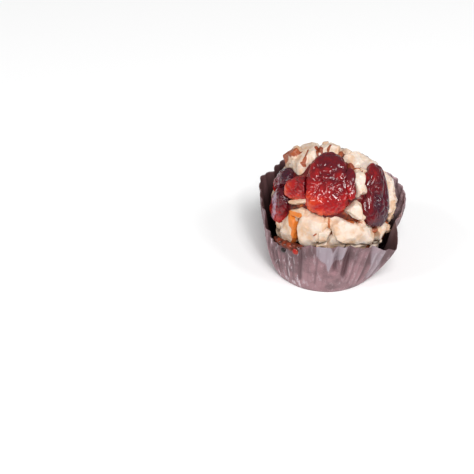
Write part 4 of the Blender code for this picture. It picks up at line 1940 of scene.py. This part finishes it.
@dataclass(frozen=True)
class SyrupFinish:
    """Set syrup with crushed nut in it: amber to dark brown, and glossy."""

    lump: float = 1.6 * MM
    bump: float = 0.25 * MM
    red_mottle: float = 0.4
    red_strength: float = 0.9
    roughness: float = 0.36
    roughness_mottle: float = 0.2
    shades: tuple[tuple[float, Shade], ...] = (
        (0.44, Shade.DARK_SYRUP),
        (0.58, Shade.NUT_SKIN),
        (0.72, Shade.AMBER),
        (0.84, Shade.TOASTED),
    )

    def material(self) -> bpy.types.Material:
        """Makes the finish.

        Returns:
            The material.
        """
        board = Board("set_syrup")
        lump = board.grain(self.lump, detail=5.0, roughness=0.6)
        syrup = board.ramp(lump, self.shades)
        # Near berries the syrup turns dark wine: the berries' red, with painted shade in the gaps beside
        # them.
        reddened = (board.mark("red") + self.red_mottle * (lump - 0.5)).clipped()
        return board.finish(
            Base_Color=board.mix(self.red_strength * reddened, syrup, Shade.BERRY_WINE),
            Roughness=self.roughness + self.roughness_mottle * lump,
            Specular_IOR_Level=0.2,
            Coat_Weight=0.35,
            Coat_Roughness=0.12,
            Normal=board.bump(lump, self.bump),
        )


@dataclass(frozen=True)
class DripFinish:
    """Thick syrup that has run: nearly black to clear dark red, and wet."""

    mottle: float = 1.1 * MM
    red_mottle: float = 0.9
    red_lift: float = 0.14
    roughness: float = 0.35
    roughness_mottle: float = 0.15
    shades: tuple[tuple[float, Shade], ...] = (
        (0.10, Shade.SYRUP_BLACK),
        (0.35, Shade.DARK_SYRUP),
        (0.75, Shade.RUN_RED),
        (1.0, Shade.BERRY_RED),
    )

    def material(self) -> bpy.types.Material:
        """Makes the finish.

        Returns:
            The material.
        """
        board = Board("run_syrup")
        mottle = board.grain(self.mottle, detail=3.0)
        share = board.mark("red") + self.red_mottle * (mottle - 0.5) + self.red_lift
        return board.finish(
            Base_Color=board.ramp(share.clipped(), self.shades),
            Roughness=self.roughness + self.roughness_mottle * mottle,
            Specular_IOR_Level=0.1,
            Coat_Weight=0.4,
            Coat_Roughness=0.05,
        )


@dataclass(frozen=True)
class BerryFinish:
    """Dried cranberry: dark wine to flame red, clear and glossy, with fine wet wrinkles and painted
    shade in their grooves.
    """

    mottle: float = 2.6 * MM
    wrinkle: float = 0.8 * MM
    bump: float = 0.018 * MM
    glow_mottle: float = 0.5
    painted_groove_shade: float = 0.22
    filmed: Span = (0.35, 0.8)
    film_mottle: float = 0.9
    film_strength: float = 0.75
    roughness: float = 0.34
    roughness_mottle: float = 0.18
    shades: tuple[tuple[float, Shade], ...] = (
        (0.10, Shade.BERRY_NIGHT),
        (0.40, Shade.BERRY_WINE),
        (0.72, Shade.BERRY_RED),
        (1.0, Shade.BERRY_FLAME),
    )

    def material(self) -> bpy.types.Material:
        """Makes the finish.

        Returns:
            The material.
        """
        board = Board("dried_berry")
        mottle = board.grain(self.mottle, detail=4.0, roughness=0.55)
        wrinkle = board.grain(self.wrinkle, detail=3.0, bend=0.6)
        glow = board.mark("glow") + self.glow_mottle * (mottle - 0.5)
        # Painted shade: the skin is darker down in the wrinkles' grooves.
        glow = glow - self.painted_groove_shade * board.mark("groove")
        skin = board.ramp(glow.clipped(), self.shades)
        film = (board.mark("film") + self.film_mottle * (wrinkle - 0.5)).eased(*self.filmed)
        return board.finish(
            Base_Color=board.mix(self.film_strength * film, skin, Shade.FILM),
            Roughness=self.roughness + self.roughness_mottle * mottle,
            Specular_IOR_Level=0.0,
            Coat_Weight=1.0,
            Coat_IOR=1.45,
            Coat_Roughness=0.10,
            Subsurface_Weight=0.20,
            Subsurface_Radius=(1.0, 0.12, 0.06),
            Subsurface_Scale=1.0 * MM,
            Normal=board.bump(wrinkle, self.bump),
        )


@dataclass(frozen=True)
class PaperFinish:
    """Greaseproof paper: dusty mauve outside with pale lavender fields, dark brown inside; shade, light
    and glints are painted on it.
    """

    fibre: float = 0.5 * MM
    cloud: float = 5.0 * MM
    streak: float = 0.9 * MM
    streak_stretch: Stretch = (1.0, 1.0, 0.16)
    bump: float = 0.05 * MM
    deep: Span = (0.55, 1.05)
    deep_mottle: float = 0.3
    painted_bounce_height: float = 0.26
    valley: Span = (-0.5, 0.9)
    valley_shade_strength: float = 0.85
    pale_least: float = 0.62
    pale_mottle: float = 0.6
    pale_valley_shade: float = 0.5
    pale_strength: float = 0.85
    glinted: Span = (0.55, 0.66)
    glint_least: float = 0.25
    glint_strength: float = 0.8
    contact_shadowed: Span = (0.035, 0.01)
    contact_shadow_strength: float = 0.55
    high: Span = (0.45, 0.95)
    high_mottle: float = 0.3
    creased: Span = (0.42, 0.62)
    crease_mottle: float = 0.8
    crease_strength: float = 0.45
    flare_painted_light: float = 1.9
    fibre_relief: float = 0.6
    streak_relief: float = 0.4
    roughness: float = 0.50
    roughness_mottle: float = 0.10
    pale_shine: float = 0.18

    def material(self) -> bpy.types.Material:
        """Makes the finish.

        Returns:
            The material.
        """
        board = Board("case_paper")
        cloud = board.grain(self.cloud, detail=3.0)
        fibre = board.grain(self.fibre, detail=4.0, roughness=0.6)
        streak = board.grain(self.streak, detail=3.0, roughness=0.6, stretch=self.streak_stretch)
        pleat = board.mark("pleat")
        # Painted light: deepening with height leaves the lower wall lighter, as if lit from the floor;
        # cloud and fibre vary the mauve at random.
        depth = cloud + self.deep_mottle * fibre + self.painted_bounce_height * board.mark("height")
        mauve = board.mix(depth.eased(*self.deep), Shade.MAUVE, Shade.MAUVE_DEEP)
        # Painted shade: the paper is darker down in the pleats' valleys, and its pale fields fade there.
        valley = (0.0 - pleat).eased(*self.valley)
        mauve = board.mix(self.valley_shade_strength * valley, mauve, Shade.MAUVE_DEEP)
        pale = board.mark("pale") * (self.pale_least + self.pale_mottle * cloud)
        pale = pale * (1.0 - self.pale_valley_shade * valley)
        outside = board.mix(self.pale_strength * pale.clipped(), mauve, Shade.LAVENDER)
        # Painted highlights: white glints in streaks along the ridges, strongest on the left front.
        painted_glint_zone = self.glint_least + (1 - self.glint_least) * board.mark("painted_glint_zone")
        painted_streak_glint = (streak.eased(*self.glinted) * painted_glint_zone * (1.0 - valley)).clipped()
        outside = board.mix(self.glint_strength * painted_streak_glint, outside, Shade.PAINTED_GLINT)
        # Painted shadow: a dark line along the foot of the wall, where it stands on the floor.
        edge = board.mark("height").eased(*self.contact_shadowed)
        outside = board.mix(self.contact_shadow_strength * edge, outside, Shade.MAUVE_DEEP)
        # Painted shade: inside, the brown paper is darker towards the bottom, as shade between the wall
        # and the laddu.
        high = (board.mark("height") + self.high_mottle * (cloud - 0.5)).eased(*self.high)
        dark = board.mix(high, Shade.CASE_INSIDE, Shade.CASE_BROWN)
        # Painted light: high up on the inside where the rim flares, the paper is painted pale as if lit
        # from above, with darker crease streaks.
        creased = (cloud + self.crease_mottle * (fibre - 0.5)).eased(*self.creased)
        painted_lit_paper = board.mix(self.crease_strength * creased, Shade.CASE_PAINTED_LIT, Shade.CASE_BROWN)
        painted_lit_share = (self.flare_painted_light * board.mark("flare") * high).clipped()
        inner = board.mix(painted_lit_share, dark, painted_lit_paper)
        height = self.fibre_relief * fibre + self.streak_relief * streak
        return board.finish(
            Base_Color=board.mix(board.mark("inside"), outside, inner),
            Roughness=self.roughness - self.pale_shine * pale + self.roughness_mottle * fibre,
            Coat_Weight=0.22,
            Coat_Roughness=0.26,
            Normal=board.bump(height, self.bump),
        )


@dataclass(frozen=True)
class FloorFinish:
    """A plain pale floor."""

    def material(self) -> bpy.types.Material:
        """Makes the finish."""
        return Board("pale_floor").finish(Base_Color=Shade.FLOOR, Roughness=0.9)


# The studio


@dataclass(frozen=True)
class SoftLight:
    """A soft box: its bearing and rise from the laddu, its distance, its size and its power."""

    name: str
    bearing: float
    rise: float
    distance: float
    width: float
    height: float
    watts: float


@dataclass
class Studio:
    """The floor, the lights and the camera.

    The target shows at the aim, a place in the photograph's frame in pixels from its top left.
    """

    frame_pixels: float = 474.0
    aim: tuple[float, float] = (333.0, 212.3)
    looks_down: float = 36.0
    distance: float = 0.5
    metres_per_pixel: float = 0.29 * MM
    target: Vector = field(default_factory=lambda: Vector((0.0, 0.0, 17.5 * MM)))
    floor_half: float = 1.5
    sky: float = 0.30
    sky_shade: tuple[float, ...] = (1.0, 1.0, 1.0, 1.0)
    lights: tuple[SoftLight, ...] = (
        SoftLight("key", 14, 54, 1.02, 0.34, 0.26, 6.0),
        SoftLight("sparkle", 16, 42, 1.02, 0.09, 0.09, 1.8),
        SoftLight("right", 60, 44, 1.08, 0.32, 0.32, 3.2),
        SoftLight("left", -60, 40, 1.20, 0.32, 0.32, 3.6),
    )

    def floor(self, finish: FloorFinish) -> None:
        """Lays the floor.

        Args:
            finish: Its finish.
        """
        half = self.floor_half
        corners = [(-half, -half, 0), (half, -half, 0), (half, half, 0), (-half, half, 0)]
        mesh = bpy.data.meshes.new("floor")
        mesh.from_pydata(corners, [], [(0, 1, 2, 3)])
        mesh.materials.append(finish.material())
        made = bpy.data.objects.new("floor", mesh)
        bpy.context.scene.collection.objects.link(made)

    def light(self) -> None:
        """Hangs the soft boxes and whitens the room."""
        for box in self.lights:
            lamp = bpy.data.lights.new(box.name, "AREA")
            lamp.shape = "RECTANGLE"
            lamp.size = box.width
            lamp.size_y = box.height
            lamp.energy = box.watts
            made = bpy.data.objects.new(box.name, lamp)
            way = direction(box.bearing, box.rise)
            made.location = self.target + way * box.distance
            made.rotation_mode = "QUATERNION"
            made.rotation_quaternion = (-way).to_track_quat("-Z", "Y")
            bpy.context.scene.collection.objects.link(made)
        room = bpy.data.worlds.new("room")
        room.use_nodes = True
        air = room.node_tree.nodes["Background"]
        air.inputs["Color"].default_value = self.sky_shade
        air.inputs["Strength"].default_value = self.sky
        bpy.context.scene.world = room

    def camera(self) -> None:
        """Sets the camera level, where the photograph was taken from.

        Its axis is turned so that the laddu falls off the frame's middle, at the photograph's place.
        """
        focal = self.distance / self.metres_per_pixel
        right = self.aim[0] - 0.5 * self.frame_pixels
        up = 0.5 * self.frame_pixels - self.aim[1]
        down = math.radians(self.looks_down)
        length = math.sqrt(right ** 2 + up ** 2 + focal ** 2)
        tilt = math.atan2(up, focal) + math.asin(length * math.sin(down) / math.hypot(focal, up))
        turn = math.atan2(right, up * math.sin(tilt) + focal * math.cos(tilt))
        level = math.cos(tilt)
        forward = Vector((-math.sin(turn) * level, math.cos(turn) * level, -math.sin(tilt)))
        side = Vector((math.cos(turn), math.sin(turn), 0.0))
        axes = Matrix((side, side.cross(forward), -forward)).transposed().to_4x4()
        lens = bpy.data.cameras.new("camera")
        lens.angle = 2 * math.atan(0.5 * self.frame_pixels / focal)
        made = bpy.data.objects.new("camera", lens)
        eye = self.target + direction(0.0, self.looks_down) * self.distance
        made.matrix_world = Matrix.Translation(eye) @ axes
        bpy.context.scene.collection.objects.link(made)
        bpy.context.scene.camera = made

    def build(self) -> None:
        """Sets up the whole studio."""
        self.floor(FloorFinish())
        self.light()
        self.camera()
        bpy.context.scene.view_settings.view_transform = "Standard"


def main() -> None:
    """Builds the laddu piece by piece in its studio."""
    logging.basicConfig(level=logging.INFO, format="%(name)s: %(message)s")
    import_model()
    case = PaperCase()
    laddu = Laddu(case)
    laddu.lay_out()
    nuts = ChoppedNuts(laddu)
    case.build(PaperFinish())
    SyrupCore(laddu).build(SyrupFinish())
    nuts.build(NutFinish())
    Crumbs(laddu, nuts).build(NutFinish())
    RimSyrup(case).build(DripFinish())
    DriedBerries(laddu).build(BerryFinish())
    Studio().build()
    log.info("the studio is ready")


if __name__ == "__main__":
    main()
